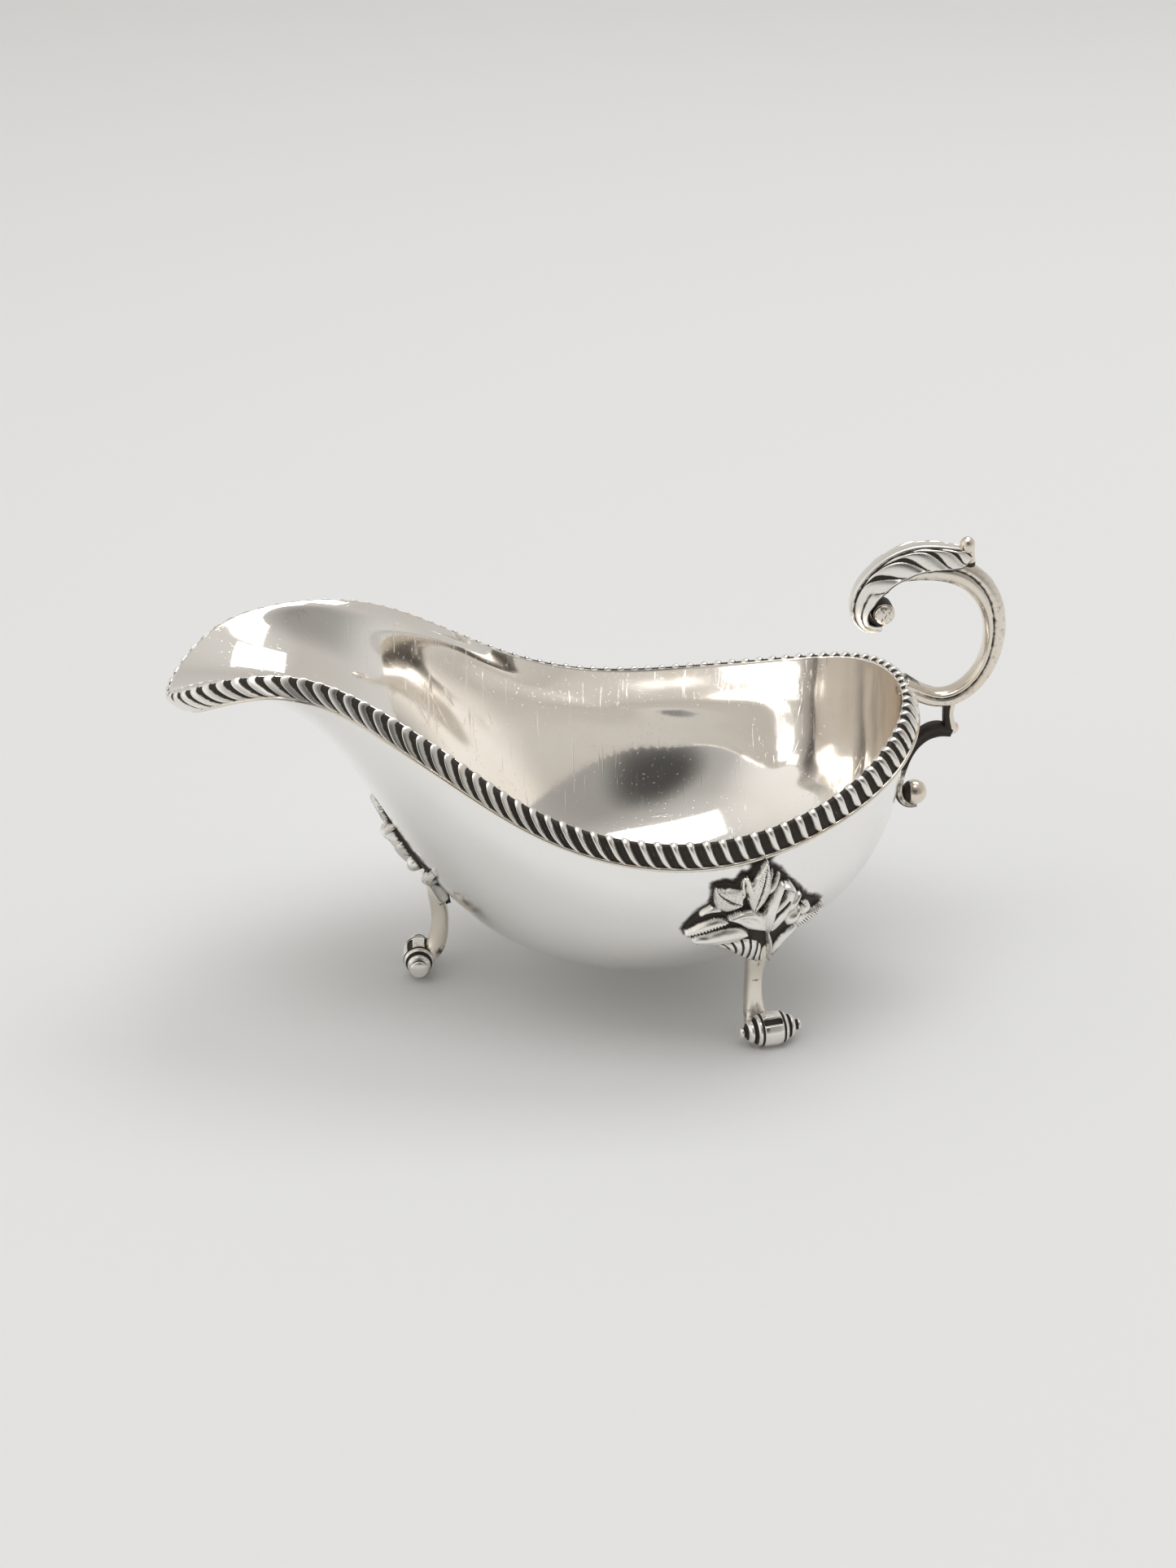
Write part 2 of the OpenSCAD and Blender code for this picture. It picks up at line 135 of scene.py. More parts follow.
def hoops(q):
    """The control rings of the wall, from one past the rim to one past the bottom."""
    rim, lip, base = rim_at(q), lip_at(q), oval_at(BASE, q)
    pole = np.broadcast_to(POLE, rim.shape)
    return np.stack([2 * rim - lip, rim, lip, oval_at(NECK, q), oval_at(BELLY, q),
                     oval_at(LOW, q), base, pole, 2 * pole - base])


def wall(q, v):
    """Middle surface of the sheet in mm; v is 0 at the rim and 1 at the bottom."""
    q, v = np.broadcast_arrays(np.asarray(q, float), np.asarray(v, float))
    h = hoops(q)
    t = v * 6
    i = np.clip(np.floor(t).astype(int), 0, 5)
    w = weights(t - i)
    out = 0
    for k in range(4):
        out = out + w[..., k, None] * np.take_along_axis(h, (i + k)[None, ..., None], 0)[0]
    return out


def wall_normal(q, v):
    e = 0.004
    q, v = np.broadcast_arrays(np.asarray(q, float), np.asarray(v, float))
    dq = wall(q + e, v) - wall(q - e, v)
    dv = wall(q, np.minimum(v + e, 1)) - wall(q, np.maximum(v - e, 0))
    n = unit(np.cross(dv, dq))
    n[v > 0.999] = [0, 0, -1]
    return n


def off_wall(q, v, h):
    return wall(q, v) + np.asarray(h)[..., None] * wall_normal(q, v)


def chart(q0, v0):
    """A flat map of the wall about a point, in mm across (s) and up (t)."""
    e = 0.01
    c = wall(q0, v0)
    n = wall_normal(q0, v0)
    tt = unit(np.array([0, 0, 1.0]) - n * n[2])
    ss = np.cross(tt, n)
    dq = (wall(q0 + e, v0) - wall(q0 - e, v0)) / (2 * e)
    dv = (wall(q0, v0 + e) - wall(q0, v0 - e)) / (2 * e)
    slopes = np.linalg.inv(np.array([[dq @ ss, dv @ ss], [dq @ tt, dv @ tt]]))
    return q0, v0, c, ss, tt, slopes


NEWTON_STEPS = 6
FOOT_OF_MAP, FOOT_LIFT = -7, 0.03


def chart_uv(m, s, t):
    """The wall's own q and v at places on a map, by Newton steps."""
    q0, v0, c, ss, tt, slopes = m
    q, v = np.full(np.shape(s), float(q0)), np.full(np.shape(s), float(v0))
    for _ in range(NEWTON_STEPS):
        p = wall(q, v) - c
        miss = np.stack([s - p @ ss, t - p @ tt], -1)
        d = miss @ slopes.T
        q = q + d[..., 0]
        v = np.clip(v + d[..., 1], 0.01, 0.99)
    return q, v


def on_chart(m, s, t, h):
    """Points on a map, lifted by h and more at its foot, where a leg stands off the wall."""
    q, v = chart_uv(m, s, t)
    low = np.maximum(0, FOOT_OF_MAP - t)
    return off_wall(q, v, h + FOOT_LIFT * low * low)


def smooth(x):
    """0 below 0, 1 above 1, and an easy curve between."""
    x = np.clip(x, 0, 1)
    return x * x * (3 - 2 * x)


def turns(sides):
    """Angles evenly round a circle."""
    return 2 * np.pi * np.arange(sides) / sides


def squared(r, y, power):
    """Pushes a point of a circle out towards a square with round corners."""
    out = (np.abs(r) ** power + np.abs(y) ** power) ** (-1 / power)
    return r * out, y * out


def bump(x, middle, width):
    """Bell curve of height 1."""
    return np.exp(-(((x - middle) / width) ** 2))


# directions, radians per mm and phases of the slow and fine random fields
rng = np.random.default_rng(7)
WAVES = [(unit(rng.normal(size=3)), rng.uniform(0.16, 0.5), rng.uniform(0, 6.28))
         for _ in range(14)]
GRAINS = [(unit(rng.normal(size=3)), rng.uniform(4, 11), rng.uniform(0, 6.28))
          for _ in range(18)]


def ripple(p, waves=WAVES):
    """Smooth random field from about -1 to 1 over points in mm."""
    total = sum(np.sin(p @ d * k + a) for d, k, a in waves)
    return total / math.sqrt(len(waves))


# ---------------------------------------------------------------- meshes

def grid_faces(n, m, wrap_n=False, wrap_m=False):
    """Quads of an n by m grid of points."""
    i, j = np.meshgrid(np.arange(n if wrap_n else n - 1),
                       np.arange(m if wrap_m else m - 1), indexing="ij")
    a, b = (i + 1) % n, (j + 1) % m
    return np.stack([i * m + j, i * m + b, a * m + b, a * m + j], -1).reshape(-1, 4).tolist()


def hollows(points, edges, normals):
    """How hollow the surface is at each vertex: 0 where flat or swelling, near 1 in a crease."""
    n = len(points)
    a, b = edges[:, 0], edges[:, 1]
    count = np.bincount(a, minlength=n) + np.bincount(b, minlength=n)
    count = np.maximum(count, 1)

    def spread(values):
        return np.stack([np.bincount(a, values[b, k], n) + np.bincount(b, values[a, k], n)
                         for k in range(values.shape[1])], -1) / count[:, None]

    reach = np.linalg.norm(points[a] - points[b], axis=1)
    reach = (np.bincount(a, reach, n) + np.bincount(b, reach, n)) / count
    bend = ((spread(points) - points) * normals).sum(1) / np.maximum(reach, 1e-9)
    bend = bend[:, None]
    for _ in range(2):
        bend = 0.5 * bend + 0.5 * spread(bend)
    return bend[:, 0]


def piece(name, nodes, materials, verts, faces, dark=None, hollow_gain=6.0,
          recalc=True, face_material=None, grain=None):
    """Makes one shown piece from points in mm, riding on the root body for its CAD nodes.
    dark is the oxide on each vertex, and on the handle bar painted shade as well, from 0 to 1, to
    which the creases add theirs."""
    mesh = bpy.data.meshes.new(name)
    mesh.from_pydata((np.asarray(verts) * MM).tolist(), [], faces)
    mesh.validate()
    o = bpy.data.objects.new(name, mesh)
    bpy.context.scene.collection.objects.link(o)
    for m in materials:
        mesh.materials.append(m)
    if face_material is not None:
        mesh.polygons.foreach_set("material_index", face_material)
    if recalc:
        bm = bmesh.new()
        bm.from_mesh(mesh)
        bmesh.ops.recalc_face_normals(bm, faces=bm.faces)
        bm.to_mesh(mesh)
        bm.free()
    mesh.polygons.foreach_set("use_smooth", [True] * len(mesh.polygons))
    mesh.update()
    n = len(mesh.vertices)
    p, nv, e = np.zeros(n * 3), np.zeros(n * 3), np.zeros(len(mesh.edges) * 2, int)
    mesh.vertices.foreach_get("co", p)
    mesh.vertices.foreach_get("normal", nv)
    mesh.edges.foreach_get("vertices", e)
    bend = hollows(p.reshape(-1, 3), e.reshape(-1, 2), nv.reshape(-1, 3))
    oxide_and_shade = np.clip(bend * hollow_gain, 0, 1) + (0 if dark is None else np.asarray(dark))
    mesh.attributes.new("oxide_and_shade", "FLOAT", "POINT").data.foreach_set(
        "value", np.clip(oxide_and_shade, 0, 1).astype(np.float32))
    mesh.attributes.new("grain", "FLOAT", "POINT").data.foreach_set(
        "value", (np.zeros(n) if grain is None else np.asarray(grain)).astype(np.float32))
    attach(o, "root")
    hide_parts(*nodes)


def skin(rings):
    """Points and faces of a tube through rings of points, with a cap on each end."""
    n, m = rings.shape[:2]
    caps = [list(range(m - 1, -1, -1)), [(n - 1) * m + j for j in range(m)]]
    return rings.reshape(-1, 3), grid_faces(n, m, wrap_m=True) + caps


# ---------------------------------------------------------------- materials

def silver(name, tint, rough, oxide_and_shade_colour=(0.034, 0.026, 0.020), warm=0.5,
           scratch=0.25, pits=0.0, oxide_and_shade_spread=0.35):
    """Silver that its vertex attribute darkens with oxide and with painted shade: worn bright on
    its high places, with drifting tint, fine scratches and pits."""
    m = bpy.data.materials.new(name)
    m.use_nodes = True
    t = m.node_tree
    nodes, link = t.nodes, t.links.new
    nodes.clear()
    out = nodes.new("ShaderNodeOutputMaterial")
    b = nodes.new("ShaderNodeBsdfPrincipled")
    link(b.outputs[0], out.inputs[0])
    where = nodes.new("ShaderNodeTexCoord").outputs["Object"]

    def noise(scale, detail=3.0, stretch=None, distortion=0.0):
        n = nodes.new("ShaderNodeTexNoise")
        n.inputs["Scale"].default_value = scale
        n.inputs["Detail"].default_value = detail
        n.inputs["Distortion"].default_value = distortion
        if stretch:
            s = nodes.new("ShaderNodeMapping")
            s.inputs["Rotation"].default_value = stretch[0]
            s.inputs["Scale"].default_value = stretch[1]
            link(where, s.inputs["Vector"])
            link(s.outputs[0], n.inputs["Vector"])
        else:
            link(where, n.inputs["Vector"])
        return n.outputs["Fac"]

    def ranged(value, a, b_, c, d, easy=True):
        r = nodes.new("ShaderNodeMapRange")
        r.interpolation_type = "SMOOTHSTEP" if easy else "LINEAR"
        for k, x in zip(range(1, 5), (a, b_, c, d)):
            r.inputs[k].default_value = x
        link(value, r.inputs[0])
        return r.outputs[0]

    def maths(op, *values):
        n = nodes.new("ShaderNodeMath")
        n.operation = op
        for k, x in enumerate(values):
            if isinstance(x, (int, float)):
                n.inputs[k].default_value = x
            else:
                link(x, n.inputs[k])
        return n.outputs[0]

    def mixed(fac, a, b_):
        n = nodes.new("ShaderNodeMix")
        n.data_type = "RGBA"
        link(fac, n.inputs[0])
        for k, x in ((6, a), (7, b_)):
            if isinstance(x, tuple):
                n.inputs[k].default_value = (*x, 1)
            else:
                link(x, n.inputs[k])
        return n.outputs[2]

    attribute = nodes.new("ShaderNodeAttribute")
    attribute.attribute_name = "oxide_and_shade"
    grain = nodes.new("ShaderNodeAttribute")
    grain.attribute_name = "grain"
    broken = ranged(noise(900, 5), 0.3, 0.7, -oxide_and_shade_spread / 2, oxide_and_shade_spread / 2, False)
    mask = ranged(maths("ADD", attribute.outputs["Fac"], broken), 0.22, 0.72, 0, 1)
    # light tarnish drifts over the whole piece in warm patches
    haze = ranged(noise(55, 4, distortion=0.6), 0.42, 0.78, 0, warm)
    clean = mixed(haze, tint, tuple(c * k for c, k in zip(tint, (0.97, 0.92, 0.84))))
    # the dark colour is the oxide's, and on the handle bar it also paints shade
    link(mixed(mask, clean, oxide_and_shade_colour), b.inputs["Base Color"])
    link(ranged(mask, 0, 1, 1.0, 0.25, False), b.inputs["Metallic"])
    fine = noise(1400, 4, ((0.4, 0.9, 0.3), (1.0, 0.06, 0.06)))
    cross = noise(1100, 4, ((1.1, -0.5, 1.4), (0.07, 1.0, 0.07)))
    lines = maths("MAXIMUM", ranged(fine, 0.62, 0.72, 0, 1), ranged(cross, 0.63, 0.74, 0, 1))
    worn = maths("ADD", ranged(noise(90, 4), 0.35, 0.7, rough * 0.75, rough * 1.35),
                 maths("MULTIPLY", lines, 0.10 * scratch))
    link(maths("ADD", worn, maths("MULTIPLY", mask, 0.35)), b.inputs["Roughness"])
    height = maths("MULTIPLY", lines, -scratch)
    if pits:
        spots = ranged(noise(1500, 3), 0.66, 0.76, 0, -pits)
        height = maths("ADD", height, spots)
    stipple = maths("MULTIPLY", maths("MULTIPLY", noise(3200, 2), grain.outputs["Fac"]), 6.0)
    height = maths("ADD", height, stipple)
    relief = nodes.new("ShaderNodeBump")
    relief.inputs["Strength"].default_value = 0.5
    relief.inputs["Distance"].default_value = 0.00004
    link(height, relief.inputs["Height"])
    link(relief.outputs[0], b.inputs["Normal"])
    return m


inside_silver = silver("silver_inside", (0.955, 0.925, 0.885), 0.075, warm=0.3, scratch=0.45,
                       pits=0.8)
outside_silver = silver("silver_outside", (0.955, 0.95, 0.935), 0.19, warm=0.2, scratch=0.5,
                        pits=0.8, oxide_and_shade_spread=0.12)
cast_silver = silver("silver_cast", (0.85, 0.795, 0.715), 0.18, warm=1.0, scratch=0.5, pits=1.6)
chased_silver = silver("silver_chased", (0.93, 0.91, 0.875), 0.24, warm=0.6, scratch=0.4,
                       pits=0.6, oxide_and_shade_spread=0.3)

# ---------------------------------------------------------------- mount outline

front_chart = chart(0.0, 0.5)
port_chart = chart(0.64, 0.4)

OUTLINE = np.array([
    (3.6, -16.8), (1.8, -16.4), (-2.0, -14.0), (-4.8, -12.2), (-9.0, -9.6), (-12.6, -8.8),
    (-15.2, -7.0), (-16.2, -5.2), (-15.4, -3.0), (-13.8, 0.2), (-11.6, 2.0), (-11.3, 5.0),
    (-11.6, 8.0), (-9.0, 8.6), (-6.9, 8.0), (-5.8, 10.0), (-4.0, 9.8), (-2.8, 12.0),
    (-1.0, 13.5), (0.4, 11.2), (2.6, 9.6), (5.6, 5.8), (7.9, 3.2), (10.2, 0.0), (13.2, -1.8),
    (14.8, -3.6), (14.2, -5.8), (12.4, -7.2), (9.8, -8.8), (7.6, -11.0), (5.6, -13.8),
    (4.4, -16.2)])


def border_distance(s, t, polygon):
    """Distance to the outline, above 0 inside it."""
    near = np.full(s.shape, 1e9)
    inside = np.zeros(s.shape, bool)
    for (x0, y0), (x1, y1) in zip(polygon, np.roll(polygon, -1, 0)):
        dx, dy = x1 - x0, y1 - y0
        k = np.clip(((s - x0) * dx + (t - y0) * dy) / (dx * dx + dy * dy), 0, 1)
        near = np.minimum(near, np.hypot(s - x0 - k * dx, t - y0 - k * dy))
        if y0 != y1:
            cut = x0 + (t - y0) * dx / dy
            inside ^= ((y0 > t) != (y1 > t)) & (s < cut)
    return np.where(inside, near, -near)


def mirrored_y(p):
    return p * np.array([1, -1, 1])


# ---------------------------------------------------------------- bowl

def build_bowl():
    around, down = 400, 104
    q = 2 * np.arange(around) / around
    v = (np.arange(down) / down)[:, None]
    p, n = wall(q[None], v), wall_normal(q[None], v)
    dent = 0.035 * ripple(p) * smooth(v / 0.1)
    outer = p + (HALF_SHEET + dent)[..., None] * n
    inner = p - (HALF_SHEET - dent)[..., None] * n
    up = -unit(wall(q, 0.01) - wall(q, 0.0))
    edge = [p[0] + HALF_SHEET * (math.cos(a) * n[0] + 0.3 * math.sin(a) * up)
            for a in np.radians([40, 90, 140])]
    rings = np.concatenate([outer[::-1], edge, inner])
    verts = rings.reshape(-1, 3)
    rows = len(rings)
    faces = grid_faces(rows, around, wrap_m=True)
    last = (rows - 1) * around
    for i in range(around):
        k = (i + 1) % around
        faces.append([i, k, len(verts)])
        faces.append([last + k, last + i, len(verts) + 1])
    verts = np.concatenate([verts, [POLE - [0, 0, HALF_SHEET], POLE + [0, 0, HALF_SHEET]]])
    # the wall is made darker round the mounts and in a band just below the wire
    dark = np.zeros(len(verts))
    tree_points = []
    for m, flip in ((front_chart, False), (port_chart, False), (port_chart, True)):
        loop = np.concatenate([np.linspace(a, b, 12, endpoint=False)
                               for a, b in zip(OUTLINE, np.roll(OUTLINE, -1, 0))])
        on = on_chart(m, loop[:, 0], loop[:, 1], np.full(len(loop), HALF_SHEET))
        tree_points.append(mirrored_y(on) if flip else on)
    tree_points = np.concatenate(tree_points)
    tree = kdtree.KDTree(len(tree_points))
    for i, x in enumerate(tree_points):
        tree.insert(x, i)
    tree.balance()
    outside = down * around
    reach = np.array([tree.find(x)[2] for x in verts[:outside]])
    dark[:outside] = 0.60 * np.exp(-(reach / 0.8) ** 2) + 0.18 * np.exp(-(reach / 2.4) ** 2)
    length = np.linalg.norm(wall(q, 0.02) - wall(q, 0.0), axis=-1) / 0.02
    from_wire = v * length[None] - (BORDER_H + 1.0)
    line = 0.5 * np.exp(-(np.maximum(from_wire, 0) / 0.7) ** 2)
    dark[:outside] += line[::-1].reshape(-1)
    middle = down - 1 + len(edge)
    index = np.array([0 if f[0] // around < middle and len(f) == 4 else 1 for f in faces])
    index[len(faces) - 2 * around::2] = 0
    piece("bowl_sheet", ["bowl"], [outside_silver, inside_silver], verts,
          faces, dark, hollow_gain=0.0, face_material=index)


# ---------------------------------------------------------------- rim border

GADROONS = 61.5
BORDER_H = 5.1
BORDER_OUT = 2.0
WIRE_R = 0.5


def hang(q):
    """How far the border turns away from the wall: most round the spout and neck, and
    again at the handle."""
    h = half_of(q)
    return np.radians(42 * smooth((0.6 - h) / 0.29) + 26 * smooth((h - 0.74) / 0.14))


def on_border(q, w, h):
    """Point on the border's straight section, which the hang turns about the rim."""
    down, out = unit(wall(q, 0.01) - wall(q, 0.0)), wall_normal(q, 0.0)
    a = hang(q)
    w, h = w * np.cos(a) - h * np.sin(a), w * np.sin(a) + h * np.cos(a)
    return wall(q, 0.0) + w[..., None] * down + h[..., None] * out


# section of the border as (down from the rim, out from the wall)
CREST = [(0.35, -0.40), (-0.45, -0.52), (-0.82, -0.10), (-0.84, 0.50), (-0.50, 1.25),
         (0.25, 1.76), (1.2, 1.96), (2.3, BORDER_OUT), (3.3, 1.95), (4.1, 1.76),
         (4.75, 1.36), (5.1, 0.95), (5.2, 0.40)]
GROOVE = [(0.35, -0.40), (-0.10, -0.46), (-0.26, -0.12), (-0.24, 0.30), (-0.05, 0.60),
          (0.40, 0.76), (1.2, 0.84), (2.3, 0.88), (3.3, 0.86), (4.1, 0.84), (4.75, 0.78),
          (5.05, 0.66), (5.2, 0.40)]


def build_border(name, node, flip):
    per, across = 22, 34
    k = np.arange(int(GADROONS * per) + 1)[:, None] / per
    s = np.linspace(0, 1, across)[None]
    q = np.broadcast_to(k / GADROONS, (len(k), across))
    crest, groove = open_curve(CREST, s[0]), open_curve(GROOVE, s[0])
    crest[0], groove[0] = CREST[0], GROOVE[0]
    body = smooth((s - 0.25) / 0.2)
    lean = 0.70 - 0.52 * smooth((q - 0.80) / 0.14)
    face = np.clip((s - 0.3) / 0.64, 0, 1)
    phase = k - lean * face ** 2.1 - 0.06 * np.sin(3 * face)
    off = np.abs(phase - np.round(phase))
    half = 0.265 - 0.03 * face - 0.15 * smooth((face - 0.6) / 0.4)
    half = half + 0.05 * smooth((q - 0.84) / 0.1) * face
    x = off / half
    rib = np.clip(1 - x * x, 0, 1) ** 0.62
    # the floor between the ribs is a shallow hollow with a soft second ridge
    floor = 0.10 * bump(off, 0.5, 0.10) * body
    wh = groove[None] + rib[..., None] * (crest - groove)[None]
    w, h = wh[..., 0], wh[..., 1] + floor
    swell = 1 + 0.03 * np.sin(k * 1.7) + 0.02 * np.sin(k * 4.1 + 1)
    h = np.where(h > 0.9, 0.9 + (h - 0.9) * np.minimum(swell, 1.0), h)
    p = on_border(q, w, h)
    dark = smooth((x - 0.70) / 0.36) * smooth((s - 0.05) / 0.07)
    dark = np.maximum(dark * 0.95, smooth((s - 0.965) / 0.02))
    dark -= 0.25 * bump(off, 0.5, 0.05) * body * (dark > 0.5)
    if flip:
        p = mirrored_y(p)
    verts, faces = skin(p)
    piece(name, [node], [chased_silver], verts, faces, dark.reshape(-1),
          hollow_gain=1.0)


def build_wire():
    around, sides = 640, 14
    q = (2 * np.arange(around) / around)[:, None]
    a = turns(sides)[None]
    q2 = np.broadcast_to(q, (around, sides))
    p = on_border(q2, BORDER_H + 0.25 + WIRE_R * np.cos(a) + 0 * q,
                  HALF_SHEET + 0.35 + WIRE_R * np.sin(a) + 0 * q)
    dark = np.broadcast_to(0.5 * smooth((-np.cos(a) - 0.5) / 0.5) +
                           0.4 * smooth((np.cos(a) - 0.75) / 0.25), (around, sides))
    piece("rim_wire_moulding", ["rim_wire"], [cast_silver],
          p.reshape(-1, 3), grid_faces(around, sides, True, True), dark.reshape(-1),
          hollow_gain=0.0)


# ---------------------------------------------------------------- handle

def lay_out(path, steps):
    """Centre, outward normal, thickness and width along a bar in the XZ plane."""
    u = np.linspace(0, 1, steps)
    c = open_curve(path, u)
    d = open_curve(path, np.minimum(u + 0.01, 1)) - open_curve(path, np.maximum(u - 0.01, 0))
    t = unit(d[:, :2])
    return u, c, np.stack([-t[:, 1], t[:, 0]], -1)


def sweep(path, steps, sides, shape):
    """Rings of a bar: shape(u, a) gives (across the plane, in the plane) in half sizes."""
    u, c, n = lay_out(path, steps)
    a = turns(sides)
    y, r = shape(u[:, None], a[None])
    y, r = y * c[:, 3:4], r * c[:, 2:3]
    return np.stack([c[:, 0:1] + n[:, 0:1] * r, y + 0 * r, c[:, 1:2] + n[:, 1:2] * r], -1)


# paths in the plane of the handle: x, z, half thickness in the plane, half width across
SCROLL = [
    (69.6, 68.3, 2.4, 3.2), (72.4, 66.8, 2.1, 2.9), (77, 64.7, 1.9, 2.7),
    (81.8, 65.3, 2.0, 2.7), (86.3, 69.1, 2.0, 2.7), (89.0, 74.9, 2.1, 2.7),
    (89.6, 81.3, 2.4, 2.7), (88.2, 87.9, 2.8, 2.7), (84.2, 93.0, 3.0, 2.7),
    (79.0, 95.5, 2.9, 2.7), (73.4, 96.0, 2.8, 2.6), (68.0, 95.3, 2.3, 2.4),
    (63.4, 93.1, 1.6, 2.1), (60.7, 89.1, 1.3, 2.0), (60.7, 84.9, 1.1, 1.9),
    (63.6, 83.1, 0.9, 1.8), (65.4, 84.5, 0.8, 1.7)]


ARM_SQUARE = 2.5


def crease_at(u):
    """Where the arm's side crease runs, from 1 on the loop's inner face to -1 outside."""
    return 0.30 - 0.55 * smooth((u - 0.34) / 0.22)


def build_scroll():
    steps, sides = 300, 56

    def shape(u, a):
        r, y = squared(np.cos(a), np.sin(a), ARM_SQUARE)
        # a crease runs along each side, crossing from the inner to the outer half
        line = crease_at(u)
        depth = 0.15 * smooth(u / 0.1) * (1 - smooth((u - 0.60) / 0.06))
        y = y * (1 - depth * bump(r, line, 0.14))
        flat = 0.06 * bump(r, line + 0.5, 0.35) * (1 - smooth((u - 0.6) / 0.05))
        return y * (0.98 + flat), r * 0.99

    rings = sweep(SCROLL, steps, sides, shape)
    rings += (0.05 * ripple(rings))[..., None] * np.array([0.3, 1, 0.3])
    u = np.linspace(0, 1, steps)[:, None]
    a = turns(sides)[None]
    curl = smooth((u - 0.70) / 0.05)
    joint = 0.8 * (1 - smooth(u / 0.12))
    # painted shade on the loop's inner face, under the top of the arch
    under = 0.55 * smooth((u - 0.50) / 0.06) * (1 - smooth((u - 0.66) / 0.06)) * bump(
        np.cos(a), 0.85, 0.4)
    dark = np.maximum(curl * 0.85 * (np.cos(a) < 0.3), joint * (0.5 + 0.5 * np.cos(3 * a + 9 * u)))
    dark = np.maximum(dark, under)
    # painted shade: the bar is made darker outward of its side crease, with a dark line along the
    # crease
    across = squared(np.cos(a), np.sin(a), ARM_SQUARE)[0] - crease_at(u)
    shade = 0.24 * smooth(-across / 0.12) + 0.34 * bump(across, 0, 0.10)
    dark = np.maximum(dark, shade * smooth((u - 0.06) / 0.1) * (1 - smooth((u - 0.60) / 0.06)))
    mottle = smooth(ripple(rings * 3.2 + 4) - 0.3)
    dark = np.maximum(dark, 0.8 * mottle * bump(u, 0.50, 0.05) * (np.cos(a) < 0.2))
    dark = np.maximum(dark, 0.5 * mottle * bump(u, 0.12, 0.08))
    verts, faces = skin(rings)
    piece("handle_bar", ["handle_scroll"], [cast_silver], verts, faces,
          dark.reshape(-1), hollow_gain=3.0)


# x, z, thickness and half width
LEAF = [
    (83.4, 98.7, 0.9, 1.5), (81.6, 98.8, 1.4, 3.1), (77, 99.4, 1.7, 4.3),
    (72, 99.7, 2.0, 4.5), (67, 98.4, 2.1, 4.4), (62.4, 95.4, 2.0, 4.1),
    (59.0, 91.3, 1.8, 3.7), (57.9, 86.9, 1.5, 3.2), (59.3, 83.1, 1.2, 2.7),
    (62.0, 81.8, 0.9, 2.2), (64.2, 82.0, 0.6, 1.5)]


LOBE_LEAN = 3.0  # slant of the lobes, in lobes per half width of the leaf


def build_leaf():
    steps, across = 320, 72
    u, c, n = lay_out(LEAF, steps)
    n = -n
    u = u[:, None]
    b = np.linspace(-1, 1, across)[None]
    side = np.abs(b)
    thick, wide = c[:, 2:3], c[:, 3:4]
    mid = 0.30 + 0.14 * smooth((u - 0.35) / 0.35)
    # rounded midrib, a deep groove beside it, and lobed sides that turn down
    top = np.where(side < mid, np.sqrt(np.clip(1 - (side / mid) ** 2 * 0.8, 0, 1)), 0)
    step = 0.45 + 0.55 * smooth((u - 0.3) / 0.4)
    shelf = 1 - 0.62 * step - 0.15 * smooth((side - mid) / 0.2)
    fall = smooth((side - 0.60) / 0.40)
    lobed = 1 - smooth((u - 0.50) / 0.14)
    phase = 10.2 * u + LOBE_LEAN * (side - mid) + 0.25 * np.sin(9 * u)
    fade = smooth((side - mid - 0.02) / 0.12)
    wave = np.abs(np.sin(np.pi * phase))
    lobe = (wave ** 0.7 - 0.6) * fade * lobed
    rise = np.where(side < mid, (1 - 0.62 * step) + (0.62 * step) * top, shelf + 0.42 * lobe)
    rise = rise - 0.42 * bump(side, mid + 0.01, 0.04)
    rise = rise + 0.10 * bump(side, 0.62, 0.10) * (1 - lobed)
    edge_wave = 0.20 * (wave - 0.5) * lobed * smooth((side - 0.7) / 0.3)
    drop = (2.02 + edge_wave) * fall * (1 - 0.50 * smooth((u - 0.62) / 0.25))
    drop = drop * (0.30 + 0.70 * smooth(u / 0.13))
    r = (rise - drop) * thick
    y = wide * (np.sign(b) * (1 - (1 - side) ** 1.5 * 0.92 - 0.08 * (1 - side)))
    y = y * (1 + 0.10 * lobe)
    rounded = np.sqrt(np.clip(u / 0.045, 0.01, 1))
    y, r = y * rounded, r * rounded - 0.3 * (1 - rounded)
    over = np.stack([c[:, 0:1] + n[:, 0:1] * r, y, c[:, 1:2] + n[:, 1:2] * r], -1)
    ri = r - 0.7 - 0.5 * (1 - side)
    under = np.stack([c[:, 0:1] + n[:, 0:1] * ri, y * 0.86, c[:, 1:2] + n[:, 1:2] * ri], -1)
    rings = np.concatenate([over, under[:, ::-1]], 1)
    groove = bump(side, mid + 0.02, 0.055)
    reach = 1 - smooth((side - mid - 0.22) / 0.48)
    between = smooth((0.20 + 0.52 * reach - wave) / 0.22) * fade * lobed * (0.45 + 0.6 * reach)
    line = 0.75 * bump(side, 0.80, 0.03) * (1 - lobed) * smooth((0.93 - u) / 0.1)
    dark = np.maximum(groove * smooth(u / 0.02), np.maximum(between, line))
    dark = np.maximum(dark, 0.9 * bump(u, 0.035, 0.03) * smooth((0.75 - side) / 0.2))
    lower = np.full(dark.shape, 0.95)
    verts, faces = skin(rings)
    piece("handle_acanthus", ["handle_leaf"], [chased_silver], verts, faces,
          np.concatenate([dark, lower], 1).reshape(-1), hollow_gain=2.5)


